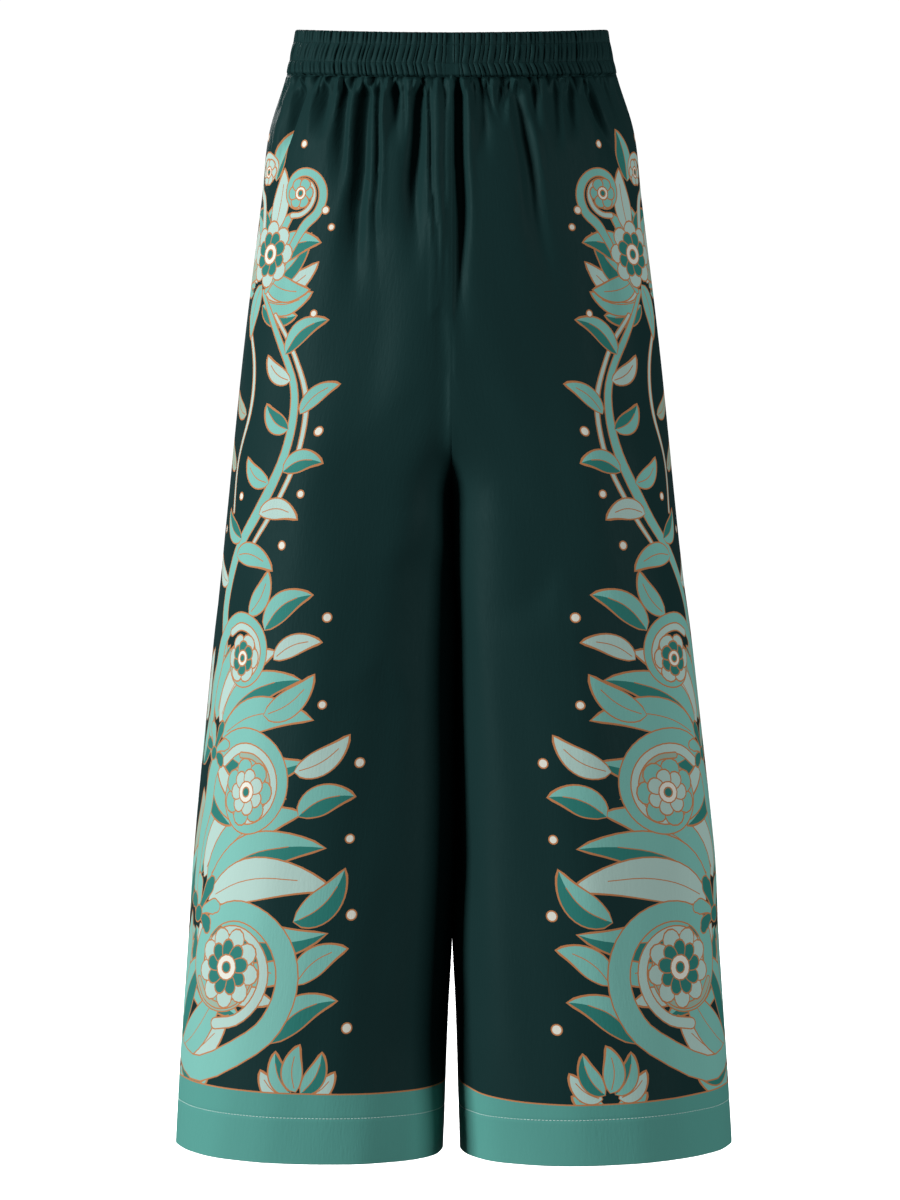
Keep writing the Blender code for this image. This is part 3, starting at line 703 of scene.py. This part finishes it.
class Print:
    """The motifs in painting order, each an outline in mm and its dye."""

    def __init__(self):
        self.shapes = []

    def paint(self, dye, outline):
        """Lay one shape on top of the others."""
        outline = divided(np.asarray(outline, float))
        after = np.roll(outline, -1, axis=0)
        turns = np.sum(outline[:, 0] * after[:, 1] - after[:, 0] * outline[:, 1])
        self.shapes.append((dye, outline if turns > 0 else outline[::-1]))

    def ribbon(self, dye, points, steps):
        """An outlined band through points of s, v and width."""
        curve = smooth_line(points, steps)
        for colour, line in (("copper", LINE), (dye, 0.0)):
            self.paint(colour, swept(curve[:, :2], curve[:, 2] / 2 + line))

    def disc(self, dye, centre, radius, corners=14):
        """An outlined dot."""
        turn = np.linspace(0.0, 2 * np.pi, corners, endpoint=False)
        ring = np.stack([np.cos(turn), np.sin(turn)], 1)
        for colour, line in (("copper", LINE), (dye, 0.0)):
            self.paint(colour, centre + ring * (radius + line))

    def scroll(self, row):
        """A band that winds into a spiral."""
        share = np.linspace(0.0, 1.0, max(int(abs(row.turns) * 14), 6))
        angle = np.radians(row.start) + 2 * np.pi * row.turns * share
        radius = row.outer * (row.inner / row.outer) ** share
        width = row.wide + (row.narrow - row.wide) * share**0.8
        s = row.centre[0] + radius * np.cos(angle)
        v = row.centre[1] + radius * np.sin(angle)
        lead = np.asarray(row.lead, float).reshape(-1, 3)
        self.ribbon(row.dye, np.vstack([lead, np.stack([s, v, width], 1)]), 3)

    def leaf(self, row):
        """A pointed leaf with a vein, and one half in a lighter dye where its dye has one."""
        base, tip = np.asarray(row.base, float), np.asarray(row.tip, float)
        way = tip - base
        t = np.linspace(0.0, 1.0, 14)[:, None]
        spine = base + way * t + np.array([-way[1], way[0]]) * row.bend * 4 * t * (1 - t)
        along, across = across_of(spine)
        half = row.width / 2 * np.sin(np.pi * t ** LEAF_SWELLS[0]) ** LEAF_SWELLS[1]
        line = LINE * np.clip(half / 2.0 + 0.15, 0.0, 1.0)
        reach = along * LINE * (2.4 * t - 0.6)
        rim = np.vstack(
            [spine + reach + across * (half + line),
             (spine + reach - across * (half + line))[-2:0:-1]]
        )
        self.paint("copper", rim)
        back = (spine - across * half)[-2:0:-1]
        self.paint(row.dye, np.vstack([spine + across * half, back]))
        if row.dye in LEAF_SHADES:
            self.paint(LEAF_SHADES[row.dye], np.vstack([spine, back]))
        vein = smooth_line(spine[1:12:3], 3)
        self.paint("copper", swept(vein, np.full(len(vein), VEIN)))

    def rosette(self, row):
        """Rings of round petals about a button."""
        centre = np.asarray(row.centre, float)
        t = np.linspace(0.0, 2 * np.pi, 14, endpoint=False)[:, None]
        for ring, (dye, reach) in enumerate(zip(row.dyes, RING_REACH)):
            radius = row.radius * reach
            long, wide = radius * PETAL[0], radius * np.pi / row.petals * PETAL[1]
            grown = 1 + 1.5 * LINE / np.hypot(long, wide)
            for k in range(row.petals):
                angle = np.radians(row.turn) + np.pi * (2 * k + ring) / row.petals
                way = np.array([np.cos(angle), np.sin(angle)])
                aside = np.array([-way[1], way[0]])
                egg = np.sin(t) * (1 + PETAL[2] * np.cos(t))
                petal = np.cos(t) * way * long + egg * aside * wide
                at = centre + way * radius * PETAL_AT
                self.paint("copper", at + petal * grown)
                self.paint(dye, at + petal)
        self.disc("cream", centre, row.radius * row.button)
        self.disc("deep", centre, row.radius * row.button * BUTTON_EYE, 12)

    def spray(self, row, piece):
        """Pieces spread from a foot, the outer ones shorter, curled and painted first."""
        foot = np.asarray(row.foot, float)
        middle = (row.count - 1) / 2
        for k in sorted(range(row.count), key=lambda at: -abs(at - middle)):
            share = (k - middle) / middle
            far = row.reach * (1.0 - OUTER_SHORTER * share**2)
            dye = row.dyes[int(abs(k - middle)) % len(row.dyes)]
            middle_way, turned = np.radians(row.middle), np.radians(row.spread / 2) * share
            piece(foot, middle_way, turned, far, row, dye)

    def lobe(self, foot, middle, turned, far, row, dye):
        """A round-ended lobe of a palmette, curling outwards."""
        points = []
        for reach, width, curl in LOBE:
            angle = middle + turned * (1 + curl)
            s = foot[0] + far * reach * np.cos(angle)
            v = foot[1] + far * reach * np.sin(angle)
            points.append((s, v, width * row.width))
        self.ribbon(dye, points, 4)

    def blade(self, foot, middle, turned, far, row, dye):
        """A leaf of a fan."""
        way = np.array([np.cos(middle + turned), np.sin(middle + turned)])
        width = row.width * (BLADE_LEAST + (1 - BLADE_LEAST) * far / row.reach)
        bend = BLADE_BENDS * (1 if turned > 0 else -1)
        self.leaf(Leaf(dye, foot + way * far * BLADE_STARTS, foot + way * far, width, bend))


def climbing_vine(side):
    """The whole print: a scrolling vine up the side seam, over a plain border."""
    motifs = Print()
    for fan in FANS:
        motifs.spray(fan, motifs.blade)
    for stem in STEMS:
        motifs.ribbon(stem.dye, stem.points, 6)
    for leaf in LEAVES:
        motifs.leaf(Leaf(*leaf))
    for scroll in SCROLLS:
        motifs.scroll(scroll)
    for rosette in ROSETTES:
        motifs.rosette(rosette)
    for palmette in PALMETTES:
        motifs.spray(palmette, motifs.lobe)
        eye = palmette.width * PALMETTE_EYE
        motifs.disc(palmette.dyes[0], np.array(palmette.foot, float), eye, 16)
    for berry in BERRIES:
        motifs.disc("cream", np.array([berry.s, berry.v]), berry.radius, 14)
    edge = smooth_line(BORDERS[side], 8)
    end = (LENGTH + HEM_DEPTH) * 1000 + 30
    foot = [(edge[-1, 0], end), (edge[0, 0], end)]
    motifs.paint("copper", np.vstack([edge - (0, LINE), foot]))
    motifs.paint("border", np.vstack([edge, foot]))
    return motifs.shapes


# ---- finishes
DYES = ("ground", "border", "mint", "pale", "deep", "grey", "cream", "copper")
CLEAR_GLOSS = 0.40  # share of the silk's gloss that takes on none of the dye


def add_node(tree, kind, settings=(), links=()):
    """Add a node, with pairs of a setting or socket and its value, and of a socket and the
    output that feeds it."""
    node = tree.nodes.new(kind)
    for name, value in settings:
        if hasattr(node, name):
            setattr(node, name, value)
        else:
            node.inputs[name].default_value = value
    for name, output in links:
        tree.links.new(output, node.inputs[name])
    return node


def new_finish(name, colour):
    """A finish with an empty node tree, and the tree."""
    material = bpy.data.materials.new(name)
    material.use_nodes = True
    material.diffuse_color = (*colour, 1.0)
    material.node_tree.nodes.clear()
    return material, material.node_tree


def finish_tree(tree, colour, height, bump, settings, gloss=()):
    """Close a tree: a shader of one colour, with its bump and its gloss from this height.
    bump is its strength and depth, and gloss holds the settings of its map."""
    relief = add_node(
        tree, "ShaderNodeBump", [("Strength", bump[0]), ("Distance", bump[1])], [("Height", height)]
    )
    links = [("Normal", relief.outputs["Normal"])]
    if gloss:
        rough = add_node(tree, "ShaderNodeMapRange", gloss, [("Value", height)])
        links.append(("Roughness", rough.outputs["Result"]))
    shader = add_node(
        tree, "ShaderNodeBsdfPrincipled", [("Base Color", (*colour, 1.0)), *settings], links
    )
    add_node(tree, "ShaderNodeOutputMaterial", (), [("Surface", shader.outputs["BSDF"])])


def silk_twill(name, colour):
    """Woven silk twill with a satin face, printed with acid dye."""
    # Dyed threads are clear, so their gloss takes on some of the dye.
    tint = [CLEAR_GLOSS + (1 - CLEAR_GLOSS) * part / max(colour) for part in colour]
    material, tree = new_finish(name, colour)
    weave = add_node(tree, "ShaderNodeUVMap", [("uv_map", "weave")])
    streaks = []
    # Threads are 0.12 mm apart and too fine to show, so the warp is drawn as soft streaks
    # 2.4 mm apart that run down the cloth. The twill line, 0.5 mm apart, is drawn as diagonal
    # ribs 1.9 mm apart.
    for turn, scale, noise in (
        (0.0, (420.0, 50.0, 1.0), [("Detail", 2.0), ("Roughness", 0.55)]),
        (0.90, (520.0, 130.0, 1.0), [("Detail", 1.0)]),
    ):
        place = add_node(
            tree, "ShaderNodeMapping", [("Rotation", (0.0, 0.0, turn)), ("Scale", scale)],
            [("Vector", weave.outputs["UV"])],
        )
        streak = add_node(
            tree, "ShaderNodeTexNoise", [("Scale", 1.0), *noise],
            [("Vector", place.outputs["Vector"])],
        )
        streaks.append(streak.outputs["Fac"])
    threads = add_node(
        tree, "ShaderNodeMix", [("data_type", "FLOAT"), ("Factor", 0.45)],
        [("A", streaks[0]), ("B", streaks[1])],
    )
    finish_tree(
        tree, colour, threads.outputs["Result"], (0.34, 0.0009),
        [("IOR", 1.54), ("Specular IOR Level", 0.032), ("Specular Tint", (*tint, 1.0))],
        [("From Min", 0.3), ("From Max", 0.7), ("To Min", 0.45), ("To Max", 0.55)],
    )
    return material


def spun_thread(name, colour):
    """Spun polyester sewing thread: matt, with a fine twist."""
    material, tree = new_finish(name, colour)
    place = add_node(tree, "ShaderNodeTexCoord")
    # Two plies twist once every 0.6 mm.
    twist = add_node(
        tree, "ShaderNodeTexNoise", [("Scale", 1700.0), ("Detail", 1.0)],
        [("Vector", place.outputs["Object"])],
    )
    finish_tree(
        tree, colour, twist.outputs["Fac"], (0.3, 0.0001),
        [("IOR", 1.55), ("Specular IOR Level", 0.05)], [("To Min", 0.55), ("To Max", 0.75)],
    )
    return material


def floor_paint(name, colour):
    """Matt painted studio floor with the faint mottle of a roller."""
    material, tree = new_finish(name, colour)
    place = add_node(tree, "ShaderNodeTexCoord")
    mottle = add_node(
        tree, "ShaderNodeTexNoise", [("Scale", 60.0)], [("Vector", place.outputs["Object"])]
    )
    finish_tree(tree, colour, mottle.outputs["Fac"], (0.05, 0.001), [("Roughness", 0.9)])
    return material


def finish_named(name, make, colour):
    """A finish, made the first time it is asked for."""
    return bpy.data.materials.get(name) or make(name, tuple(colour))


# ---- cutting and sewing
QUARTERS = (
    (-1, -1, "front", "right"), (-1, 1, "back", "right"),
    (1, -1, "front", "left"), (1, 1, "back", "left"),
)
TOP_STEP = 0.8  # mm between the corners of a leg panel along its top edge
END_STEP = 5.0  # and along the raw edge inside the hem
FOLDS_TAKE = 1.06  # cloth in a leg panel with its folds, for one without
AREA_ROWS = 200  # drops at which its width is measured
STITCH_GAP = 0.35  # gap between two stitches, as a share of their length
STITCH_RINGS = ((0.0, 0.3), (0.18, 1.0), (0.82, 1.0), (1.0, 0.3))  # how thick along a stitch
STITCH_CORNERS = 5
THREAD_SITS = (0.25, 0.1)  # how far it stands off the hem and the band, as a share of its thickness
surfaces = {}


def put_in_scene(name, data):
    """A new object in the scene for a mesh, a light or a camera."""
    made = bpy.data.objects.new(name, data)
    bpy.context.scene.collection.objects.link(made)
    return made


def quarter_surface(side, face):
    """The hanging surface of a quarter, worked out once."""
    if (side, face) not in surfaces:
        surfaces[side, face] = Quarter(side, face, bpy.context.scene.pants_sizes)
    return surfaces[side, face]


def flat_mesh(quarter, motifs):
    """A leg panel cut flat, in mm: its corners, its triangles and the dye of each."""
    top, end = (BAND_DEPTH - TUCK) * 1000, (LENGTH + HEM_DEPTH) * 1000

    def width(v):
        v = np.asarray(v, float) / 1000
        mirrored = 2 * LENGTH - v + (np.pi - 2) * HEM_BEND
        return 1000 * quarter.width(np.where(v > LENGTH, np.minimum(mirrored, LENGTH), v))

    corners = []
    levels = []
    for zone, stop in zip(LEG_GRID, [zone.drop for zone in LEG_GRID[1:]] + [end]):
        start = max(zone.drop, top) + zone.down / 2
        for v in np.arange(start, stop - zone.down / 3, zone.down):
            reach = float(width(v))
            count = max(int(reach / zone.across), 2)
            s = (np.arange(count) + 0.5) * reach / count
            corners += [(a, v) for a in s]
            levels.append(v)
    levels = [top] + levels + [end]
    across_top = np.arange(TOP_STEP, float(width(top)) - TOP_STEP / 2, TOP_STEP)
    across_end = np.arange(END_STEP, float(width(end)) - 0.4 * END_STEP, END_STEP)
    cut = [(0.0, v) for v in levels[::-1]]
    cut += [(s, top) for s in across_top]
    cut += [(float(width(v)), v) for v in levels]
    cut += [(s, end) for s in across_end[::-1]]
    outlines = [np.array(cut)] + [outline for _, outline in motifs]
    dyes = [DYES.index("ground")] + [DYES.index(dye) for dye, _ in motifs]
    faces = []
    for outline in outlines:
        faces.append(list(range(len(corners), len(corners) + len(outline))))
        corners += [tuple(corner) for corner in outline]
    found = delaunay_2d_cdt([Vector(c) for c in corners], [], faces, 2, 1e-4, True)
    # A triangle has the dye of the last motif painted over it.
    kept = [(face, dyes[max(inside)]) for face, inside in zip(found[2], found[5]) if 0 in inside]
    corners = np.array([tuple(corner) for corner in found[0]])
    return corners, np.array([face for face, _ in kept]), np.array([dye for _, dye in kept])


def thick_cloth(name, points, normals, triangles, dyes, weave, cloth):
    """A closed piece of cloth from its right side: its wrong side lies behind it."""
    used = np.unique(triangles)
    renumber = np.full(len(points), -1)
    renumber[used] = np.arange(len(used))
    points, normals, weave = points[used], normals[used], weave[used]
    triangles = renumber[triangles]
    a, b, c = (points[triangles[:, k]] for k in range(3))
    facing = np.sum(np.cross(b - a, c - a) * normals[triangles].sum(axis=1), axis=1)
    triangles[facing < 0] = triangles[facing < 0][:, ::-1]
    count = len(points)
    behind = triangles[:, ::-1] + count
    edges = np.concatenate([triangles[:, [0, 1]], triangles[:, [1, 2]], triangles[:, [2, 0]]])
    owner = np.tile(np.arange(len(triangles)), 3)
    key = np.sort(edges, axis=1)
    _, first, times = np.unique(
        key[:, 0] * count + key[:, 1], return_index=True, return_counts=True
    )
    rim, rim_owner = edges[first[times == 1]], owner[first[times == 1]]
    start, stop = rim[:, 0], rim[:, 1]
    upper = np.stack([stop, start, start + count], 1)
    lower = np.stack([stop, start + count, stop + count], 1)
    faces = np.concatenate([triangles, behind, upper, lower])
    dyes = np.concatenate([dyes, dyes, dyes[rim_owner], dyes[rim_owner]])
    points = np.concatenate([points, points - cloth * normals])
    normals = np.concatenate([normals, -normals])
    return new_piece(name, points, faces.tolist(), np.concatenate([weave, weave]), normals, dyes)


def new_piece(name, points, faces, weave=None, normals=None, slots=None):
    """A smooth mesh object, with a place in the weave, an outward direction and a finish for
    each corner or face where they are given."""
    mesh = bpy.data.meshes.new(name)
    mesh.from_pydata(points.tolist(), [], faces)
    if weave is not None:
        mesh.uv_layers.new(name="weave")
        corners = np.zeros(len(mesh.loops), int)
        mesh.loops.foreach_get("vertex_index", corners)
        mesh.uv_layers["weave"].data.foreach_set("uv", weave[corners].ravel())
    if slots is not None:
        mesh.polygons.foreach_set("material_index", slots.astype(np.int32))
    mesh.shade_smooth()
    if normals is not None:
        mesh.normals_split_custom_set_from_vertices(normals.tolist())
    return put_in_scene(name, mesh)


class PANTS_OT_leg_panels(bpy.types.Operator):
    """Cut the four leg panels out of printed silk and hang them"""

    bl_idname = "pants.leg_panels"
    bl_label = "Leg panels"

    def execute(self, context):
        sizes, colours = context.scene.pants_sizes, context.scene.pants_colours
        for side, face, where, hand in QUARTERS:
            quarter = quarter_surface(side, face)
            flat, triangles, dyes = flat_mesh(quarter, climbing_vine(side))
            points, normals = quarter.place(flat[:, 0] / 1000, flat[:, 1] / 1000)
            weave = flat * (side, 1.0) / 1000 + (1.0, 0.0)
            name = f"{where}_leg_cloth_{hand}"
            piece = thick_cloth(name, points, normals, triangles, dyes, weave, sizes.cloth)
            for dye in DYES:
                silk = finish_named(f"silk twill, {dye} dye", silk_twill, getattr(colours, dye))
                piece.data.materials.append(silk)
            drops = np.linspace(BAND_DEPTH, LENGTH, AREA_ROWS)
            area = float(quarter.width(drops).mean()) * (LENGTH - BAND_DEPTH) * FOLDS_TAKE
            area += HEM_DEPTH * float(quarter.widths[-1])
            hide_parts(f"{where}_leg_{hand}")
            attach(piece, "root")
        return {"FINISHED"}


class PANTS_OT_waistband(bpy.types.Operator):
    """Gather the four quarters of the waistband on their elastic"""

    bl_idname = "pants.waistband"
    bl_label = "Waistband"

    def execute(self, context):
        sizes, colours = context.scene.pants_sizes, context.scene.pants_colours
        for side, face, where, hand in QUARTERS:
            quarter = quarter_surface(side, face)
            piece = gathered_casing(f"{where}_waistband_cloth_{hand}", quarter, sizes)
            silk = finish_named("silk twill, waistband", silk_twill, colours.casing)
            piece.data.materials.append(silk)
            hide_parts(f"waistband_{where}_{hand}")
            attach(piece, "root")
        return {"FINISHED"}


def channel_at(share):
    """How full the casing is at a share of its height, how far its gathers slant, and in
    which channel it lies."""
    k = int(np.clip(np.searchsorted(CHANNELS, share) - 1, 0, 2))
    within = (share - CHANNELS[k]) / (CHANNELS[k + 1] - CHANNELS[k])
    within = np.clip(within, 0.0, 1.0)
    if k == 0:
        # The upper channel is full right up to its top edge.
        within = 0.5 + 0.5 * within
    return np.sin(np.pi * within), float(np.interp(share, CHANNELS, CHANNEL_SLANTS)), k


def casing_row(quarter, sizes, share, out):
    """Points of one line round the casing: out is 1 on the outside, -1 on the inside, and
    between them over the top edge. Also its places in the weave and outward directions."""
    full, slant, k = channel_at(share)
    index = np.linspace(0.0, 2.0 * GATHERS, GATHERS * GATHER_COLUMNS + 1)
    spacing = gather_spacing(quarter.side, quarter.face, slant)
    shares = np.interp(index, np.arange(len(spacing)), spacing)
    seams = calm(index, *CASING_CALM)
    wander = np.interp(share, CHANNELS, CHANNEL_STRAYS)
    stray = np.sin(STRAY_PACES[0] * np.floor(index / 2.0) + STRAY_STARTS[0])
    stray = stray + np.sin(STRAY_PACES[1] * index + STRAY_STARTS[1] * wander)
    evens = 2 * STRAY_EVENS + 1
    stray = np.convolve(np.pad(stray, STRAY_EVENS, "edge"), np.ones(evens) / evens, "valid")
    shares = shares + seams * wander * STRAY * stray
    v = np.full(len(index), share * BAND_DEPTH)
    width = float(quarter.width(v[0]))
    base, normal = quarter.place(shares * width, v)
    crest = np.abs(np.sin(np.pi / 2 * index)) ** GATHER_FULLNESS
    uneven = GATHER_RISE[0] + GATHER_RISE[1] * quarter.uneven(index + CHANNEL_APART * k)
    if k == 2 and quarter.face < 0:
        seams = seams * ease((2 * GATHERS - index) / LOWEST_CALM)
    rise = GATHER_LEAST + (1 - GATHER_LEAST) * full**CHANNEL_ROUND
    rise = sizes.gather_height * rise * uneven * crest * seams
    fullness = sizes.channel_fullness * full**CHANNEL_ROUND * ease(index / CASING_CALM[1])
    half = sizes.elastic / 2
    swell = half + (fullness + rise) * (1 if out > 0 else INSIDE)
    if abs(out) < 1.0:
        # Over the top edge the casing is rolled about its elastic.
        swell = half + rise * INSIDE
        base = base - quarter.downs[0, 0] * np.cos(np.arcsin(out)) * half
    points = base + normal * (swell * out - half)[:, None]
    return points, 1.0 + quarter.side * shares * width * GATHERED, normal


def gathered_casing(name, quarter, sizes):
    """A quarter of the casing: up the outside, over the elastic and down the inside."""
    path = []
    for k in (2, 1, 0):
        for step in range(CHANNEL_ROWS[k], 0, -1):
            share = CHANNELS[k] + (CHANNELS[k + 1] - CHANNELS[k]) * step / CHANNEL_ROWS[k]
            path.append((share, 1.0))
    path += [(0.0, float(np.sin(np.radians(turn)))) for turn in ROLL]
    path += [(float(share), -1.0) for share in np.linspace(0.03, 1.0, INNER_ROWS)]
    rows = [casing_row(quarter, sizes, share, out) for share, out in path]
    points = np.array([row[0] for row in rows])
    places = np.array([row[1] for row in rows])
    down = np.arange(len(path))[:, None] * ROW_APART + 0 * places
    grid = np.arange(places.size).reshape(places.shape)
    faces = np.stack([grid[:-1, :-1], grid[:-1, 1:], grid[1:, 1:], grid[1:, :-1]], -1)
    faces = faces.reshape(-1, 4)
    if quarter.side * quarter.face > 0:
        faces = faces[:, ::-1]
    weave = np.stack([places, down], -1).reshape(-1, 2)
    return new_piece(name, points.reshape(-1, 3), faces.tolist(), weave)


def stitch_row(name, rows, sizes, finish):
    """Short rounded stitches, each laid along the cloth between two points."""
    points, faces = [], []
    turn = np.linspace(0.0, 2 * np.pi, STITCH_CORNERS, endpoint=False)
    for start, stop, out in rows:
        way = (stop - start) / np.linalg.norm(stop - start)
        aside = np.cross(out, way)
        first = len(points)
        for share, size in STITCH_RINGS:
            at = start + (stop - start) * share
            for angle in turn:
                spoke = np.cos(angle) * out + np.sin(angle) * aside
                points.append(at + sizes.thread / 2 * size * spoke)
        last = first + (len(STITCH_RINGS) - 1) * STITCH_CORNERS
        for ring in range(first, last, STITCH_CORNERS):
            for k in range(STITCH_CORNERS):
                a, b = ring + k, ring + (k + 1) % STITCH_CORNERS
                faces.append((a, b, b + STITCH_CORNERS, a + STITCH_CORNERS))
        faces.append(tuple(range(first + STITCH_CORNERS - 1, first - 1, -1)))
        faces.append(tuple(range(last, last + STITCH_CORNERS)))
    piece = new_piece(name, np.array(points), faces)
    piece.data.materials.append(finish)
    return piece


class PANTS_OT_stitching(bpy.types.Operator):
    """Sew the hems and the channels of the waistband"""

    bl_idname = "pants.stitching"
    bl_label = "Stitching"

    def execute(self, context):
        sizes, colours = context.scene.pants_sizes, context.scene.pants_colours
        pitch = sizes.stitch * (1 + STITCH_GAP)
        hem = finish_named("spun thread, hem", spun_thread, colours.hem_thread)
        for side, hand in ((-1, "right"), (1, "left")):
            rows = []
            for face in (-1, 1):
                quarter = quarter_surface(side, face)
                drop = LENGTH - HEM_DEPTH
                starts = np.arange(pitch / 2, float(quarter.width(drop)) - pitch, pitch)
                first, out = quarter.place(starts, np.full(len(starts), drop))
                last, _ = quarter.place(starts + sizes.stitch, np.full(len(starts), drop))
                lift = out * sizes.thread * THREAD_SITS[0]
                rows += list(zip(first + lift, last + lift, out))
            piece = stitch_row(f"hem_stitches_{hand}", rows, sizes, hem)
            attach(piece, "root")
        # The darker thread of the channels is partly painted shade for the sunken stitch lines.
        band = finish_named("spun thread, waistband", spun_thread, colours.band_thread_and_shade)
        for share, height in zip(CHANNELS[1:3], ("upper", "lower")):
            rows = []
            for side, face, _, _ in QUARTERS:
                points, _, out = casing_row(quarter_surface(side, face), sizes, share, 1.0)
                points = points + out * sizes.thread * THREAD_SITS[1]
                last = len(points) - BAND_STITCH_COLUMNS
                for k in range(1, last, BAND_STITCH_COLUMNS + 1):
                    rows.append((points[k], points[k + BAND_STITCH_COLUMNS], out[k]))
            piece = stitch_row(f"waistband_stitches_{height}", rows, sizes, band)
            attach(piece, "root")
        return {"FINISHED"}


# ---- the stage
FLOOR_RADIUS = 60.0
FLOOR_CORNERS = 96
LIGHTS = table(
    "name place width height power",
    ("key light", (-3.9, -2.1, 0.5), 1.4, 2.6, 262.0),
    ("fill light", (3.9, -2.1, 0.0), 1.4, 2.6, 104.0),
    ("back light", (-0.8, 3.6, 1.6), 2.4, 2.4, 110.0),
)
LIGHTS_AIM = (0.0, 0.0, -0.5)
CEILING = (3.7, 60.0)  # strength of the floor's own light, and how wide it is in degrees
SENSOR = 36.0  # mm
CAMERA_AWAY = 3.5  # from the origin to the camera, along Y
FRAME_HEIGHT = 1.104  # what the picture holds from top to bottom at the origin
CAMERA_X = -0.0015
CAMERA_Z = -0.42
AIM_Z = -0.5216


def point_at(item, place, aim):
    """Put a light or the camera in its place and turn it to what it aims at."""
    item.location = place
    item.rotation_euler = (Vector(aim) - Vector(place)).to_track_quat("-Z", "Y").to_euler()


class PANTS_OT_stage(bpy.types.Operator):
    """Set the pale floor, the soft studio light and the camera"""

    bl_idname = "pants.stage"
    bl_label = "Stage"

    def execute(self, context):
        scene = context.scene
        floor_z = -scene.pants_sizes.floor_drop
        turn = np.linspace(0.0, 2 * np.pi, FLOOR_CORNERS, endpoint=False)
        mesh = bpy.data.meshes.new("floor")
        rim = [(FLOOR_RADIUS * np.cos(a), FLOOR_RADIUS * np.sin(a), floor_z) for a in turn]
        mesh.from_pydata(rim, [], [tuple(range(FLOOR_CORNERS))])
        floor = put_in_scene("floor", mesh)
        # The floor throws no light back, as under a raised stand.
        floor.visible_diffuse = False
        floor.visible_glossy = False
        mesh.materials.append(finish_named("matt floor paint", floor_paint, (0.9, 0.9, 0.9)))

        # The cloth sees a soft room, and the camera sees a white backdrop.
        scene.world = scene.world or bpy.data.worlds.new("studio")
        scene.world.use_nodes = True
        tree = scene.world.node_tree
        tree.nodes.clear()
        room, backdrop = (
            add_node(tree, "ShaderNodeBackground", [("Color", (*colour, 1.0)), ("Strength", strength)])
            for colour, strength in (((0.94, 0.97, 1.0), 0.07), ((1.0, 1.0, 1.0), 1.05))
        )
        path = add_node(tree, "ShaderNodeLightPath")
        both = add_node(
            tree, "ShaderNodeMixShader", (),
            [(0, path.outputs["Is Camera Ray"]), (1, room.outputs["Background"]),
             (2, backdrop.outputs["Background"])],
        )
        add_node(tree, "ShaderNodeOutputWorld", (), [("Surface", both.outputs["Shader"])])

        for row in LIGHTS:
            lamp = bpy.data.lights.new(row.name, "AREA")
            lamp.shape = "RECTANGLE"
            lamp.size, lamp.size_y = row.width, row.height
            lamp.energy = row.power
            point_at(put_in_scene(row.name, lamp), row.place, LIGHTS_AIM)
        # This one lights only the floor.
        ceiling = bpy.data.lights.new("ceiling light", "SUN")
        ceiling.energy, ceiling.angle = CEILING[0], np.radians(CEILING[1])
        above = put_in_scene("ceiling light", ceiling)
        above.location = (0.0, 0.0, 3.0)
        lit = bpy.data.collections.new("lit from the ceiling")
        lit.objects.link(floor)
        above.light_linking.receiver_collection = lit

        lens = bpy.data.cameras.new("camera")
        lens.sensor_width = SENSOR
        lens.lens = SENSOR * CAMERA_AWAY / FRAME_HEIGHT
        scene.camera = put_in_scene("camera", lens)
        point_at(scene.camera, (CAMERA_X, -CAMERA_AWAY, CAMERA_Z), (CAMERA_X, 0.0, AIM_Z))
        scene.view_settings.view_transform = "Standard"
        return {"FINISHED"}


class PANTS_PT_build(bpy.types.Panel):
    """The garment's pieces, sizes and dyes"""

    bl_idname = "PANTS_PT_build"
    bl_label = "Palazzo pants"
    bl_space_type = "VIEW_3D"
    bl_region_type = "UI"
    bl_category = "Pants"

    def draw(self, context):
        layout = self.layout
        for operator in (
            PANTS_OT_leg_panels, PANTS_OT_waistband, PANTS_OT_stitching, PANTS_OT_stage,
        ):
            layout.operator(operator.bl_idname)
        for group in (context.scene.pants_sizes, context.scene.pants_colours):
            box = layout.box()
            for name in group.__annotations__:
                box.prop(group, name)


CLASSES = (
    PantsSizes, PantsColours, PANTS_OT_leg_panels, PANTS_OT_waistband, PANTS_OT_stitching,
    PANTS_OT_stage, PANTS_PT_build,
)


def register():
    """Make the panel, its settings and its operators known."""
    for kind in CLASSES:
        bpy.utils.register_class(kind)
    bpy.types.Scene.pants_sizes = PointerProperty(type=PantsSizes)
    bpy.types.Scene.pants_colours = PointerProperty(type=PantsColours)


def unregister():
    """Take them away again."""
    del bpy.types.Scene.pants_colours
    del bpy.types.Scene.pants_sizes
    for kind in reversed(CLASSES):
        bpy.utils.unregister_class(kind)


def main():
    """Make the garment and its stage."""
    register()
    bpy.ops.pants.leg_panels()
    bpy.ops.pants.waistband()
    bpy.ops.pants.stitching()
    bpy.ops.pants.stage()


if __name__ == "__main__":
    main()
